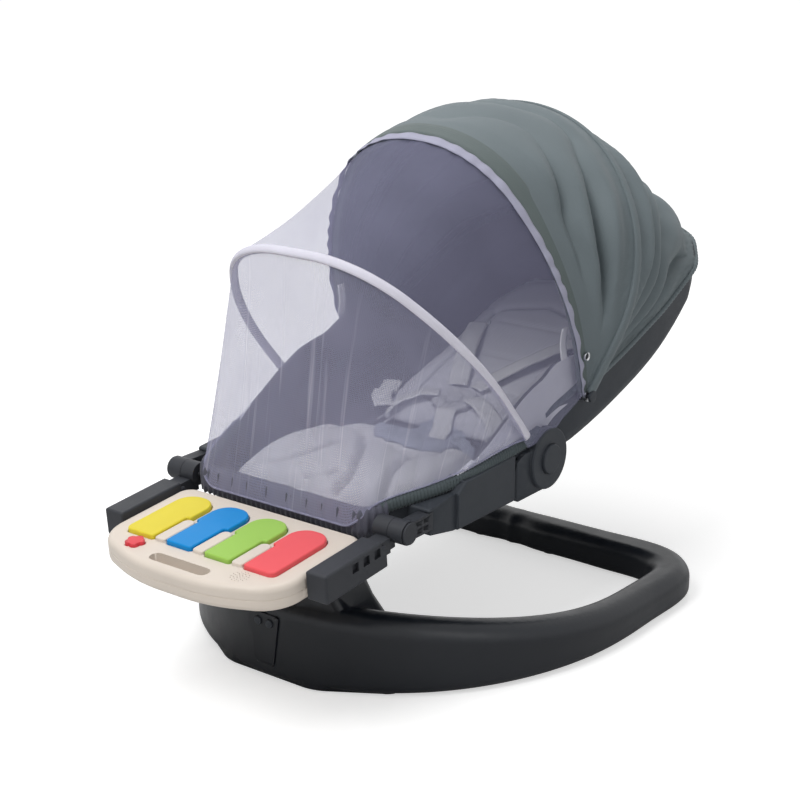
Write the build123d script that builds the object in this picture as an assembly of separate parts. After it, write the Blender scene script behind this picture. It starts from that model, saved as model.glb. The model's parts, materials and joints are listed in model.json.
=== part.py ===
from build123d import *
import math
import os

# A baby's bouncer seat: an oval floor ring with a column, a rocking seat with a reclining back,
# a folding canopy, an insect net on a bow, and a piano tray on two telescoping arms.
# Millimetres. X is across, the foot end is at minus Y, Z is up from the floor.

# Walls and clearances
WALL = 3.0
GAP = 0.5
RUN = 0.05
PRESS_GAP = 0.02
CUT_OVER = 5.0

# Floor ring: a half ellipse in front of its middle, a rounded rectangle behind
RING_MIDDLE_Y = 90.0
RING_HALF_WIDTH = 271.0
RING_FRONT = 334.0
RING_REAR = 187.0
RING_CORNER = 75.0
RING_INNER_CORNER = 42.0
TUBE_WIDTH = 44.0
TUBE_HEIGHT = 40.0
PROW_HEIGHT = 95.0
PROW_SPREAD = 3.5
RING_BOTTOM_ROUND = 10.0
RING_TOP_ROUND = 0.44
RING_SPLIT_Z = 16.0
FOOT_HEIGHT = 2.0
FOOT_RADIUS = 13.0
FOOT_ANGLES = (24, 75, 122, 162)
COVER_SCREW_ANGLES = (40, 95, 150)

# Column above the ring's front, by height: half width, front face, rear face
COLUMN_TOP = 160.0
COLUMN_LEVELS = (
    (FOOT_HEIGHT, 138.0, -238.0, -164.0),
    (58.0, 124.0, -237.0, -158.0),
    (92.0, 84.0, -232.0, -151.0),
    (122.0, 64.0, -223.0, -147.0),
    (COLUMN_TOP, 57.0, -214.0, -144.0),
)
COLUMN_SLOT_HALF_WIDTH = 33.0
COLUMN_SLOT_HALF_LENGTH = 18.0

# Rocking pivot in the column
PIVOT_Y = -179.0
PIVOT_Z = 138.0
SHAFT_RADIUS = 5.0
HUB_RADIUS = 15.0
HUB_HALF_LENGTH = 30.0
BUSH_RADIUS = 8.0
BUSH_LENGTH = 14.0
SPRING_RADIUS = 12.0
SPRING_BORE = 8.0
SPRING_LENGTH = 22.0
STEM_HALF_DEPTH = 11.0
PLATE_THICKNESS = 3.0
PLATE_HALF_WIDTH = 70.0
PLATE_FRONT_Y = -192.0
PLATE_REAR_Y = -70.0
LEVER_HALF_WIDTH = 8.0
MAGNET_SIZE = (24.0, 16.0, 10.0)
MAGNET_TOP_Z = 96.0
COIL_RADIUS = 16.0
COIL_BORE = 7.0
COIL_HEIGHT = 16.0
COIL_AIR_GAP = 4.0

# Front control panel, speaker and battery in the base
PANEL_BOTTOM_HALF = 12.0
PANEL_TOP_HALF = 21.0
PANEL_PROUD = 1.0
PANEL_SINK = 1.4
PANEL_BOTTOM_Z = 18.0
PANEL_TOP_Z = 79.0
PANEL_BUTTON_RADIUS = 4.8
PANEL_BUTTON_SPACING = 16.0
PANEL_BUTTON_Z = 69.0
PANEL_BUTTON_PROUD = 2.0
PANEL_BUTTON_FLANGE = 1.6
SPEAKER_RADIUS = 14.0
SPEAKER_HEIGHT = 18.0
SPEAKER_PLACE = (88.0, -186.0)
GRILLE_HOLE_RADIUS = 1.3
BATTERY_SIZE = (48.0, 29.0, 30.0)
BATTERY_PLACE = (-88.0, -185.5)

# Seat and back shells, as stations of Y, half width, rim height and bottom height
SEAT_STATIONS = (
    (-212.0, 112.0, 213.0, 186.0),
    (-203.0, 122.0, 217.0, 176.0),
    (-182.0, 130.0, 221.0, 170.0),
    (-140.0, 148.0, 226.0, 170.0),
    (-90.0, 163.0, 232.0, 170.0),
    (0.0, 165.0, 241.0, 170.0),
    (56.0, 165.0, 247.0, 172.0),
)
BACK_STATIONS = (
    (45.0, 156.0, 248.0, 182.0),
    (80.0, 158.0, 261.0, 190.0),
    (125.0, 167.0, 278.0, 202.0),
    (200.0, 173.0, 307.0, 226.0),
    (290.0, 175.0, 341.0, 260.0),
    (378.0, 170.0, 377.0, 310.0),
    (428.0, 136.0, 398.0, 350.0),
    (452.0, 86.0, 408.0, 378.0),
)
BUCKET_LEAN = 5.0
BUCKET_ROUND = 28.0

# Recline hinge
RECLINE_Y = 52.0
RECLINE_Z = 211.0
RECLINE_PIN_RADIUS = 6.0
HOUSING_RADIUS = 36.0
HOUSING_FACE_X = 175.0
RECLINE_BUTTON_RADIUS = 17.5
RECLINE_BUTTON_TRAVEL = 2.8
RECLINE_BUTTON_PROUD = 3.5
DETENT_RADIUS = 26.0
DETENT_THICKNESS = 2.0
DETENT_NOTCHES = 6

# Side covers of the seat
SIDE_COVER_FACE_X = 169.0
SIDE_COVER_FRONT_Y = -166.0
SIDE_COVER_JOINT_Y = -8.0
JOINT_GROOVE = 1.2

# Canopy and net
CANOPY_PIVOT_Y = 125.0
CANOPY_PIVOT_Z = 268.0
HOOP_RADIUS = 2.5
HOOP_EYE_RADIUS = 7.0
FRONT_HOOP_ANGLE = 106.0
REAR_HOOP_ANGLE = 69.0
HEAD_ANGLE = 25.0
# Arches: half width at the foot, then the shoulder's and the crown's corner with their radii
FRONT_ARCH = (170.5, 178.0, 142.0, 330.0, 81.0, 306.0, 136.0)
REAR_ARCH = (176.0, 223.0, 162.0, 200.0, 101.0, 325.0, 200.0)
HEAD_ARCH = (176.0, 183.0, 250.0, 100.0, 95.0, 352.0, 110.0)
BOW_ARCH = (168.5, 168.5, 158.0, 300.0, 86.0, 294.0, 118.0)
SKIRT_MIDDLE_ARCH = (168.5, 168.5, 130.0, 200.0, 100.0, 240.0, 100.0)
SKIRT_HEM_ARCH = (168.5, 168.5, 110.0, 150.0, 122.0, 226.0, 70.0)
CANOPY_THICKNESS = 1.2
CANOPY_EASE = 1.1
CANOPY_STRIPS = 6
# How far the cloth is drawn in between its hoops, at the shoulder and at the crown
FRONT_SAG = (7.0, 7.0)
REAR_SAG = (12.0, 38.0)
BOW_FOOT_Y = 11.0
BOW_FOOT_Z = 246.0
BOW_ANGLE = 131.0
NET_THICKNESS = 0.8
NET_EASE = 0.7
STUD_RADIUS = 4.5

# Pads and harness
LINING = 3.0
LINING_GAP = 0.8
INSERT_EDGE = 9.0
INSERT_CROWN = 17.0
CHANNEL_RADIUS = 5.0
WEBBING_WIDTH = 25.0
WEBBING_THICKNESS = 1.6
BUCKLE_RADIUS = 27.0
BUCKLE_HEIGHT = 11.0
BUCKLE_Y = 112.0
BUCKLE_BUTTON_RADIUS = 10.0
BUCKLE_BUTTON_TRAVEL = 2.5

# Tray hinge and arms
TRAY_HINGE_Y = -203.0
TRAY_HINGE_Z = 200.0
TRAY_TILT = 5.0
BARREL_RADIUS = 13.0
BARREL_INNER_X = 128.0
BARREL_SPLIT_X = 147.0
BARREL_OUTER_X = 166.0
TRAY_PIN_RADIUS = 4.0
PLUG_HEIGHT = 20.0
PLUG_LENGTH = 44.0
SLEEVE_INNER_X = 128.5
SLEEVE_WIDTH = 27.0
SLEEVE_TOP = 1.0
SLEEVE_HEIGHT = 32.0
SLEEVE_REAR = -25.0
SLEEVE_LENGTH = 98.0
SLEEVE_WALL = 3.5
SLEEVE_ROUND = 3.0
SLEEVE_FRONT_BLOCK = 12.0
BAR_HEIGHT = 17.0
WINDOW_PITCH = 18.0
WINDOW_FIRST = -40.0
WINDOW_SIZE = 10.0
WINDOW_COUNT = 3

# Piano tray, from its hinge: Y runs back, the tray lies in front
TRAY_HALF_WIDTH = 127.0
TRAY_REAR = -22.0
TRAY_FRONT_CORNER = -160.0
TRAY_NOSE = -189.0
TRAY_NOSE_HALF = 50.0
TRAY_REAR_ROUND = 18.0
TRAY_FRONT_ROUND = 46.0
TRAY_NOSE_ROUND = 190.0
TRAY_TOP = -5.0
TRAY_UPPER_HEIGHT = 14.0
TRAY_LOWER_HEIGHT = 14.0
TRAY_EDGE_ROUND = 7.0
TRAY_WALL = 2.5
TAB_LENGTH = 6.0
TAB_HEIGHT = 8.0
KEY_PITCH = 54.0
KEY_WIDTH = 46.0
KEY_REAR = -45.0
KEY_FRONT = -143.0
KEY_ROUND = 21.0
KEY_FRONT_ROUND = 4.0
KEY_STEP_ROUND = 2.3
KEY_PROUD = 5.0
KEY_TOP_ROUND = 2.0
KEY_FLANGE = 1.5
KEY_FLANGE_HEIGHT = 2.5
ACCENT_WIDTH = 15.0
ACCENT_REAR = -92.0
ACCENT_PROUD = 4.0
KEY_CLEARANCE = 0.8
SLOT_Y = -169.0
SLOT_HALF_LENGTH = 40.0
SLOT_RADIUS = 8.0
SLOT_WALL = 2.5
FLOWER_PLACE = (-74.0, -158.0)
FLOWER_LOBES = 5
FLOWER_LOBE_RADIUS = 4.8
FLOWER_LOBE_PLACE = 6.0
FLOWER_PROUD = 3.5
TRAY_SPEAKER_PLACE = (72.0, -157.0)
TRAY_SPEAKER_RADIUS = 11.0
TRAY_SPEAKER_HEIGHT = 7.0
BOARD_THICKNESS = 1.6
MAT_THICKNESS = 1.6
DOME_RADIUS = 5.0
DOME_HEIGHT = 4.0
TRAY_SCREW_PLACES = ((112.0, -40.0), (112.0, -140.0))
SCREW_RADIUS = 1.5
SCREW_HEAD_RADIUS = 3.4
SCREW_HEAD_HEIGHT = 1.8
BOSS_RADIUS = 4.2

# Smaller sizes of the pieces above
COLUMN_ROUND = 12.0
COLUMN_BROW = 0.45
COLUMN_BROW_ROUND = 55.0
SCREW_GRIP = 6.0
BATTERY_LIP = 4.0
CHASSIS_HALF_WIDTH = 26.0
CHASSIS_HALF_LENGTH = 9.0
GRILLE_ROWS = 4
GRILLE_PITCH = 5.0
GRILLE_Y = -178.0
GRILLE_Z = 72.0
SEAT_BOTTOM = SEAT_STATIONS[3][3]
BUCKET_ROUND_SHARE = 0.8
SIDE_COVER_BOTTOM = 177.0
SIDE_COVER_STEP_Y = -118.0
SIDE_COVER_STEP = 4.0
SIDE_COVER_INNER_X = 130.0
SIDE_COVER_ROUND = 2.5
HOUSING_STEP = 5.0
HOUSING_FACE_WALL = 2.5
BUTTON_FLANGE = 1.5
HUB_START_X = 136.0
HOUSING_REAR_X = 161.5
HINGE_HUB_RADIUS = 14.0
CANOPY_PIN_RADIUS = 3.0
CANOPY_PIN_END = 182.0
CANOPY_FOOT = 14.0
SEAM_ANGLE = 0.3
STUD_ANGLE = 3.0
STUD_PLACE = 52.0
STUD_HEIGHT = 2.0
STATION_STEP = 18.0
NEAREST = 2.0
SKIRT_MIDDLE_ANGLE = 155.0
SKIRT_HEM_ANGLE = 186.0
LINING_SETBACK = 16.0
SEAT_INSERT = (
    (-190.0, 62.0, 0.7),
    (-170.0, 88.0, 0.9),
    (-125.0, 100.0, 1.0),
    (-40.0, 104.0, 1.0),
    (22.0, 92.0, 0.8),
)
BACK_INSERT = (
    (72.0, 86.0, 0.7),
    (105.0, 100.0, 1.0),
    (200.0, 104.0, 1.0),
    (300.0, 100.0, 1.0),
    (380.0, 62.0, 0.7),
)
SEAT_CHANNELS = (-135.0, -80.0, -25.0)
BACK_CHANNELS = (150.0, 215.0, 280.0)
CHANNEL_LIFT = 2.5
NOTCH_RADIUS = 16.0
BACK_RISE = 1.3
BUCKLE_LIFT = 1.5
SHOULDER_X = 26.0
SHOULDER_END = 180.0
WAIST_END_X = 112.0
WAIST_RISE = 2.0
CROTCH_LENGTH = 34.0
WAIST_TUCK = 0.3
CROTCH_TUCK = 1.5
PIN_CAP = 3.0
SLEEVE_STEP = 7.0
SEAM_ROUND = 0.8
SPEAKER_HOLES = (1, 6, 10, 14)
SPEAKER_HOLE_PITCH = 3.2
SPEAKER_HOLE_RADIUS = 0.7
BOARD_DROP = 2.0
BOARD_MARGIN = 8.0

nodes = {}
os.makedirs("parts", exist_ok=True)


# Helpers

def both(shape):
    """The shape and its mirror image, as separate solids."""
    return list(shape.solids()) + list(mirror(shape, about=Plane.YZ).solids())


def block(x0, x1, y0, y1, z0, z1):
    """A box between two corners."""
    return Pos((x0 + x1) / 2, (y0 + y1) / 2, (z0 + z1) / 2) * Box(abs(x1 - x0), abs(y1 - y0), abs(z1 - z0))


def rod_x(x0, x1, y, z, radius):
    """A cylinder along X."""
    return Pos((x0 + x1) / 2, y, z) * Rot(0, 90, 0) * Cylinder(radius, abs(x1 - x0))


def rod_y(x, y0, y1, z, radius):
    """A cylinder along Y."""
    return Pos(x, (y0 + y1) / 2, z) * Rot(90, 0, 0) * Cylinder(radius, abs(y1 - y0))


def rod_z(x, y, z0, z1, radius):
    """A cylinder along Z."""
    return Pos(x, y, (z0 + z1) / 2) * Cylinder(radius, abs(z1 - z0))


def rounded_edges(corners, place, closed=True):
    """Lines and arcs through corners (u, v, radius), placed in space by place(u, v)."""
    count = len(corners)
    cuts = []
    for i, (u, v, radius) in enumerate(corners):
        here = Vector(u, v, 0)
        if radius == 0:
            cuts.append((here, None, here))
            continue
        last, following = corners[i - 1], corners[(i + 1) % count]
        before = Vector(last[0] - u, last[1] - v, 0).normalized()
        after = Vector(following[0] - u, following[1] - v, 0).normalized()
        half = math.radians(before.get_angle(after)) / 2
        reach = radius / math.tan(half)
        middle = here + (before + after).normalized() * (radius / math.sin(half) - radius)
        cuts.append((here + before * reach, middle, here + after * reach))
    spots = [[None if p is None else place(p.X, p.Y) for p in cut] for cut in cuts]
    edges = []
    for i, (start, middle, end) in enumerate(spots):
        if middle is not None:
            edges.append(Edge.make_three_point_arc(start, middle, end))
        if closed or i < count - 1:
            edges.append(Edge.make_line(end, spots[(i + 1) % count][0]))
    return edges


def rounded_wire(corners, place):
    return Wire(rounded_edges(corners, place))


def prism(corners, z0, z1):
    """An upright prism on a rounded outline."""
    face = Face(rounded_wire(corners, lambda u, v: Vector(u, v, z0)))
    return extrude(face, amount=z1 - z0, dir=(0, 0, 1))


def side_prism(corners, x0, x1):
    """A prism along X on a rounded outline of Y and Z."""
    face = Face(rounded_wire(corners, lambda u, v: Vector(x0, u, v)))
    return extrude(face, amount=x1 - x0, dir=(1, 0, 0))


def front_prism(corners, y0, y1):
    """A prism along Y on a rounded outline of X and Z."""
    face = Face(rounded_wire(corners, lambda u, v: Vector(u, y0, v)))
    return extrude(face, amount=y1 - y0, dir=(0, 1, 0))


def edges_at(shape, axis, place):
    """The edges that lie wholly at one place along an axis."""
    return shape.edges().filter_by_position(axis, place - 0.01, place + 0.01)


def eased(stations):
    """Stations closer together, on curves that never swing past the given ones."""
    count = len(stations)
    steps = [b[0] - a[0] for a, b in zip(stations, stations[1:])]
    result = []
    columns = range(1, len(stations[0]))
    slopes = {}
    for column in columns:
        rise = [(b[column] - a[column]) / step for a, b, step in zip(stations, stations[1:], steps)]
        slope = [rise[0]]
        for i in range(1, count - 1):
            level = rise[i - 1] * rise[i] <= 0
            slope.append(0 if level else 2 * rise[i - 1] * rise[i] / (rise[i - 1] + rise[i]))
        slopes[column] = slope + [rise[-1]]
    for i, step in enumerate(steps):
        parts = max(1, round(step / STATION_STEP))
        for k in range(parts):
            t = k / parts
            station = [stations[i][0] + step * t]
            for column in columns:
                start, end = stations[i][column], stations[i + 1][column]
                leave, arrive = slopes[column][i] * step, slopes[column][i + 1] * step
                ease = t * t * (3 - 2 * t)
                swing = leave * t * (1 - t) ** 2 - arrive * t * t * (1 - t)
                station.append(start + (end - start) * ease + swing)
            result.append(tuple(station))
    return tuple(result) + (stations[-1],)


# Floor ring

def ring_reach(angle, half, front, rear, corner):
    """How far the ring's outline lies from its middle, at an angle from the front."""
    across = math.sin(math.radians(angle))
    back = -math.cos(math.radians(angle))
    if back <= 0:
        return 1 / math.hypot(across / half, back / front)
    if across * (rear - corner) >= back * half:
        return half / across
    if across * rear <= back * (half - corner):
        return rear / back
    along = across * (half - corner) + back * (rear - corner)
    apart = (half - corner) ** 2 + (rear - corner) ** 2
    return along + math.sqrt(along ** 2 - apart + corner ** 2)


def ring_span(angle, inset):
    """Inner reach, outer reach and top of the ring's section, inset from its skin."""
    narrow = TUBE_WIDTH - inset
    outer = ring_reach(
        angle, RING_HALF_WIDTH - inset, RING_FRONT - inset, RING_REAR - inset, RING_CORNER - inset
    )
    inner = ring_reach(
        angle, RING_HALF_WIDTH - narrow, RING_FRONT - narrow, RING_REAR - narrow, RING_INNER_CORNER + inset
    )
    swell = math.cos(math.radians(angle / 2)) ** (2 * PROW_SPREAD)
    top = FOOT_HEIGHT + TUBE_HEIGHT + (PROW_HEIGHT - TUBE_HEIGHT) * swell
    return inner, outer, top - inset


def ring_wire(angle, inset):
    """The ring's rounded section in the upright plane at one angle."""
    inner, outer, top = ring_span(angle, inset)
    bottom = FOOT_HEIGHT + inset
    low = RING_BOTTOM_ROUND - inset
    high = RING_TOP_ROUND * min(outer - inner, top - bottom)
    across = math.sin(math.radians(angle))
    back = -math.cos(math.radians(angle))
    corners = ((inner, bottom, low), (outer, bottom, low), (outer, top, high), (inner, top, high))
    return rounded_wire(corners, lambda reach, z: Vector(across * reach, RING_MIDDLE_Y + back * reach, z))


def ring_solid(inset):
    """The closed ring, from one lofted half and its mirror image."""
    corner_start = 90 + math.degrees(math.atan2(RING_REAR - RING_CORNER, RING_HALF_WIDTH))
    corner_end = 90 + math.degrees(math.atan2(RING_REAR, RING_HALF_WIDTH - RING_CORNER))
    step = (corner_end - corner_start) / 4
    angles = [0, 12, 26, 42, 58, 74, 90, 102]
    angles += [corner_start + step * i for i in range(5)]
    angles += [corner_end + 8, corner_end + 20, 168, 180]
    half = Solid.make_loft([ring_wire(angle, inset) for angle in angles])
    return half + mirror(half, about=Plane.YZ)


def column_solid(inset):
    """The column, flared at its foot and bowed in front like the ring."""
    wires = []
    for z, half, front, rear in eased(COLUMN_LEVELS):
        half, front, rear = half - inset, front + inset, rear - inset
        bow = RING_FRONT * (1 - math.sqrt(1 - (half / RING_HALF_WIDTH) ** 2))
        corners = (
            (half, rear, COLUMN_ROUND - inset),
            (half, front + bow, COLUMN_ROUND - inset),
            (half * COLUMN_BROW, front, COLUMN_BROW_ROUND),
            (-half * COLUMN_BROW, front, COLUMN_BROW_ROUND),
            (-half, front + bow, COLUMN_ROUND - inset),
            (-half, rear, COLUMN_ROUND - inset),
        )
        level = z
        if z == COLUMN_TOP:
            level = z - inset
        if z == FOOT_HEIGHT:
            level = z + inset
        wires.append(rounded_wire(corners, lambda u, v, w=level: Vector(u, v, w)))
    return Solid.make_loft(wires, ruled=True)


def ring_spot(angle):
    """The middle of the ring's tube at an angle, seen from above."""
    inner, outer, _ = ring_span(angle, 0)
    reach = (inner + outer) / 2
    across = math.sin(math.radians(angle))
    return reach * across, RING_MIDDLE_Y - reach * math.cos(math.radians(angle))


BASE_FLOOR_Z = FOOT_HEIGHT + WALL
PANEL_SKIN_Y = RING_MIDDLE_Y - RING_FRONT


def panel_outline(grow):
    """The front strip, wider towards its top."""
    return (
        (-PANEL_BOTTOM_HALF - grow, PANEL_BOTTOM_Z - grow, 4),
        (PANEL_BOTTOM_HALF + grow, PANEL_BOTTOM_Z - grow, 4),
        (PANEL_TOP_HALF + grow, PANEL_TOP_Z + grow, 4),
        (-PANEL_TOP_HALF - grow, PANEL_TOP_Z + grow, 4),
    )


def make_base_shells():
    """The upper shell and the bottom cover, cut from one hollow body, with their screws and feet."""
    hollow = ring_solid(0) + column_solid(0)
    hollow -= ring_solid(WALL) + column_solid(WALL)
    reach = RING_HALF_WIDTH + RING_FRONT + RING_REAR
    under = block(-reach, reach, -reach, reach, -CUT_OVER, RING_SPLIT_Z)
    shell = hollow - under
    cover = hollow & under

    shell -= block(
        -COLUMN_SLOT_HALF_WIDTH,
        COLUMN_SLOT_HALF_WIDTH,
        PIVOT_Y - COLUMN_SLOT_HALF_LENGTH,
        PIVOT_Y + COLUMN_SLOT_HALF_LENGTH,
        COLUMN_TOP - WALL - CUT_OVER,
        COLUMN_TOP + CUT_OVER,
    )
    shell -= rod_x(-RING_HALF_WIDTH, RING_HALF_WIDTH, PIVOT_Y, PIVOT_Z, SHAFT_RADIUS + PRESS_GAP)
    shell -= front_prism(panel_outline(GAP), PANEL_SKIN_Y - CUT_OVER, PANEL_SKIN_Y + PANEL_SINK)
    for side in (-1, 1):
        x = side * PANEL_BUTTON_SPACING / 2
        hole_front, hole_rear = PANEL_SKIN_Y - CUT_OVER, PANEL_SKIN_Y + WALL + CUT_OVER
        hole = rod_y(x, hole_front, hole_rear, PANEL_BUTTON_Z, PANEL_BUTTON_RADIUS + GAP)
        shell -= hole

    feet = []
    for angle in FOOT_ANGLES:
        x, y = ring_spot(angle)
        feet += both(rod_z(x, y, 0, FOOT_HEIGHT, FOOT_RADIUS))
    screws = []
    for angle in COVER_SCREW_ANGLES:
        x, y = ring_spot(angle)
        top = ring_span(angle, 0)[2] - WALL / 2
        boss = rod_z(x, y, BASE_FLOOR_Z, top, BOSS_RADIUS)
        boss -= rod_z(x, y, BASE_FLOOR_Z, RING_SPLIT_Z + SCREW_GRIP, SCREW_RADIUS)
        head_top = FOOT_HEIGHT + SCREW_HEAD_HEIGHT
        hole = rod_z(x, y, 0, BASE_FLOOR_Z, SCREW_RADIUS + GAP)
        hole += rod_z(x, y, 0, head_top, SCREW_HEAD_RADIUS + GAP)
        screw = rod_z(x, y, FOOT_HEIGHT, head_top, SCREW_HEAD_RADIUS)
        screw += rod_z(x, y, FOOT_HEIGHT, RING_SPLIT_Z + SCREW_GRIP, SCREW_RADIUS - PRESS_GAP)
        screws += both(screw)
        for solid in both(boss):
            shell += solid
        for solid in both(hole):
            cover -= solid
    nodes["base_feet"] = feet
    nodes["base_screws"] = screws
    return shell, cover


def make_grille(shell):
    """Speaker holes through the column's flank, in a small square pattern."""
    for row in range(GRILLE_ROWS):
        for place in range(GRILLE_ROWS):
            y = GRILLE_Y + (row - (GRILLE_ROWS - 1) / 2) * GRILLE_PITCH
            z = GRILLE_Z + (place - (GRILLE_ROWS - 1) / 2) * GRILLE_PITCH
            shell -= rod_x(COLUMN_LEVELS[3][1] - CUT_OVER, RING_HALF_WIDTH / 2, y, z, GRILLE_HOLE_RADIUS)
    return shell


def make_base():
    shell, cover = make_base_shells()
    nodes["base_shell"] = make_grille(shell)

    half_x, half_y = BATTERY_SIZE[0] / 2, BATTERY_SIZE[1] / 2
    bx, by = BATTERY_PLACE
    inner_x, inner_y = half_x - BATTERY_LIP, half_y - BATTERY_LIP
    cover -= block(bx - inner_x, bx + inner_x, by - inner_y, by + inner_y, 0, BASE_FLOOR_Z)
    nodes["base_bottom_cover"] = cover
    nodes["battery_door"] = block(
        bx - inner_x + GAP,
        bx + inner_x - GAP,
        by - inner_y + GAP,
        by + inner_y - GAP,
        FOOT_HEIGHT,
        BASE_FLOOR_Z,
    )
    battery_top = BASE_FLOOR_Z + BATTERY_SIZE[2]
    battery = block(bx - half_x, bx + half_x, by - half_y, by + half_y, BASE_FLOOR_Z, battery_top)
    battery -= block(
        bx - inner_x, bx + inner_x, by - inner_y, by + inner_y, BASE_FLOOR_Z, battery_top - BATTERY_LIP
    )
    nodes["battery_box"] = battery

    sx, sy = SPEAKER_PLACE
    speaker = rod_z(sx, sy, BASE_FLOOR_Z, BASE_FLOOR_Z + SPEAKER_HEIGHT, SPEAKER_RADIUS)
    speaker_rim = edges_at(speaker, Axis.Z, BASE_FLOOR_Z + SPEAKER_HEIGHT)
    nodes["base_speaker"] = fillet(speaker_rim, SPEAKER_RADIUS / 4)

    coil_top = MAGNET_TOP_Z - MAGNET_SIZE[2] - COIL_AIR_GAP
    chassis_top = coil_top - COIL_HEIGHT
    front, rear = PIVOT_Y - CHASSIS_HALF_LENGTH, PIVOT_Y + CHASSIS_HALF_LENGTH
    chassis = block(-CHASSIS_HALF_WIDTH, CHASSIS_HALF_WIDTH, front, rear, BASE_FLOOR_Z, chassis_top)
    chassis -= block(
        -CHASSIS_HALF_WIDTH + WALL * 2,
        CHASSIS_HALF_WIDTH - WALL * 2,
        front - CUT_OVER,
        rear + CUT_OVER,
        BASE_FLOOR_Z + WALL * 2,
        chassis_top - WALL * 2,
    )
    nodes["drive_chassis"] = chassis
    coil = rod_z(0, PIVOT_Y, chassis_top, coil_top, COIL_RADIUS)
    nodes["drive_coil"] = coil - rod_z(0, PIVOT_Y, chassis_top, coil_top, COIL_BORE)
    nodes["control_board"] = block(
        -CHASSIS_HALF_WIDTH,
        CHASSIS_HALF_WIDTH,
        front - BOARD_THICKNESS,
        front,
        BASE_FLOOR_Z + WALL,
        chassis_top - WALL,
    )

    shaft_half = COLUMN_LEVELS[3][1] - WALL
    nodes["pivot_shaft"] = rod_x(-shaft_half, shaft_half, PIVOT_Y, PIVOT_Z, SHAFT_RADIUS)
    spring_start = HUB_HALF_LENGTH + GAP
    spring = rod_x(spring_start, spring_start + SPRING_LENGTH, PIVOT_Y, PIVOT_Z, SPRING_RADIUS)
    spring -= rod_x(0, RING_HALF_WIDTH, PIVOT_Y, PIVOT_Z, SPRING_BORE)
    nodes["torsion_springs"] = both(spring)

    panel = front_prism(panel_outline(0), PANEL_SKIN_Y - PANEL_PROUD, PANEL_SKIN_Y + PANEL_SINK)
    for side, name in ((-1, "panel_button_power"), (1, "panel_button_sound")):
        x = side * PANEL_BUTTON_SPACING / 2
        inside = PANEL_SKIN_Y + WALL + GAP
        panel -= rod_y(x, PANEL_SKIN_Y - CUT_OVER, inside, PANEL_BUTTON_Z, PANEL_BUTTON_RADIUS + GAP)
        face = PANEL_SKIN_Y - PANEL_PROUD - PANEL_BUTTON_PROUD
        button = rod_y(x, face, inside + PANEL_BUTTON_FLANGE, PANEL_BUTTON_Z, PANEL_BUTTON_RADIUS)
        button = fillet(edges_at(button, Axis.Y, face), 1)
        flange = rod_y(x, inside, inside + PANEL_BUTTON_FLANGE, PANEL_BUTTON_Z, PANEL_BUTTON_RADIUS + 1.5)
        nodes[name] = button + flange
    nodes["control_panel"] = panel


# Rocking bracket

def make_bracket():
    plate_top = SEAT_BOTTOM - GAP
    plate_bottom = plate_top - PLATE_THICKNESS
    bracket = block(-PLATE_HALF_WIDTH, PLATE_HALF_WIDTH, PLATE_FRONT_Y, PLATE_REAR_Y, plate_bottom, plate_top)
    stem_half = HUB_HALF_LENGTH
    stem_front, stem_rear = PIVOT_Y - STEM_HALF_DEPTH, PIVOT_Y + STEM_HALF_DEPTH
    bracket += block(-stem_half, stem_half, stem_front, stem_rear, PIVOT_Z, plate_top)
    bracket += rod_x(-HUB_HALF_LENGTH, HUB_HALF_LENGTH, PIVOT_Y, PIVOT_Z, HUB_RADIUS)
    bracket += block(
        -LEVER_HALF_WIDTH,
        LEVER_HALF_WIDTH,
        PIVOT_Y - LEVER_HALF_WIDTH / 2,
        PIVOT_Y + LEVER_HALF_WIDTH / 2,
        MAGNET_TOP_Z,
        PIVOT_Z,
    )
    bracket -= rod_x(-RING_HALF_WIDTH, RING_HALF_WIDTH, PIVOT_Y, PIVOT_Z, BUSH_RADIUS + PRESS_GAP)
    screws = []
    for y in (PLATE_FRONT_Y + 2 * BOSS_RADIUS, PLATE_REAR_Y - 2 * BOSS_RADIUS):
        x = PLATE_HALF_WIDTH - 2 * BOSS_RADIUS
        for solid in both(rod_z(x, y, plate_bottom, plate_top, SCREW_RADIUS + GAP)):
            bracket -= solid
        screw = rod_z(x, y, plate_bottom, SEAT_BOTTOM + WALL, SCREW_RADIUS)
        screw += rod_z(x, y, plate_bottom - SCREW_HEAD_HEIGHT, plate_bottom, SCREW_HEAD_RADIUS)
        screws += both(screw)
    nodes["seat_bracket"] = bracket
    nodes["bracket_screws"] = screws

    bush = rod_x(HUB_HALF_LENGTH - BUSH_LENGTH, HUB_HALF_LENGTH, PIVOT_Y, PIVOT_Z, BUSH_RADIUS)
    bush -= rod_x(0, RING_HALF_WIDTH, PIVOT_Y, PIVOT_Z, SHAFT_RADIUS + RUN)
    nodes["pivot_bushes"] = both(bush)
    size_x, size_y, size_z = MAGNET_SIZE
    nodes["drive_magnet"] = block(
        -size_x / 2,
        size_x / 2,
        PIVOT_Y - size_y / 2,
        PIVOT_Y + size_y / 2,
        MAGNET_TOP_Z - size_z,
        MAGNET_TOP_Z,
    )
    return screws


# Seat and back shells

def bucket_wire(station, inset, lift):
    y, half, rim, bottom = station
    low = half - BUCKET_LEAN - inset
    corner = min(BUCKET_ROUND, BUCKET_ROUND_SHARE * (rim - bottom)) - inset
    corners = (
        (half - inset, rim + lift, 0),
        (low, bottom + inset, corner),
        (-low, bottom + inset, corner),
        (inset - half, rim + lift, 0),
    )
    return rounded_wire(corners, lambda u, v: Vector(u, y, v))


SEAT_EASED = eased(SEAT_STATIONS)
BACK_EASED = eased(BACK_STATIONS)


def bucket(stations, inset, lift):
    """A bucket filled to its rim, inset from its skin and lifted at its rim."""
    return Solid.make_loft([bucket_wire(station, inset, lift) for station in stations], ruled=True)


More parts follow.
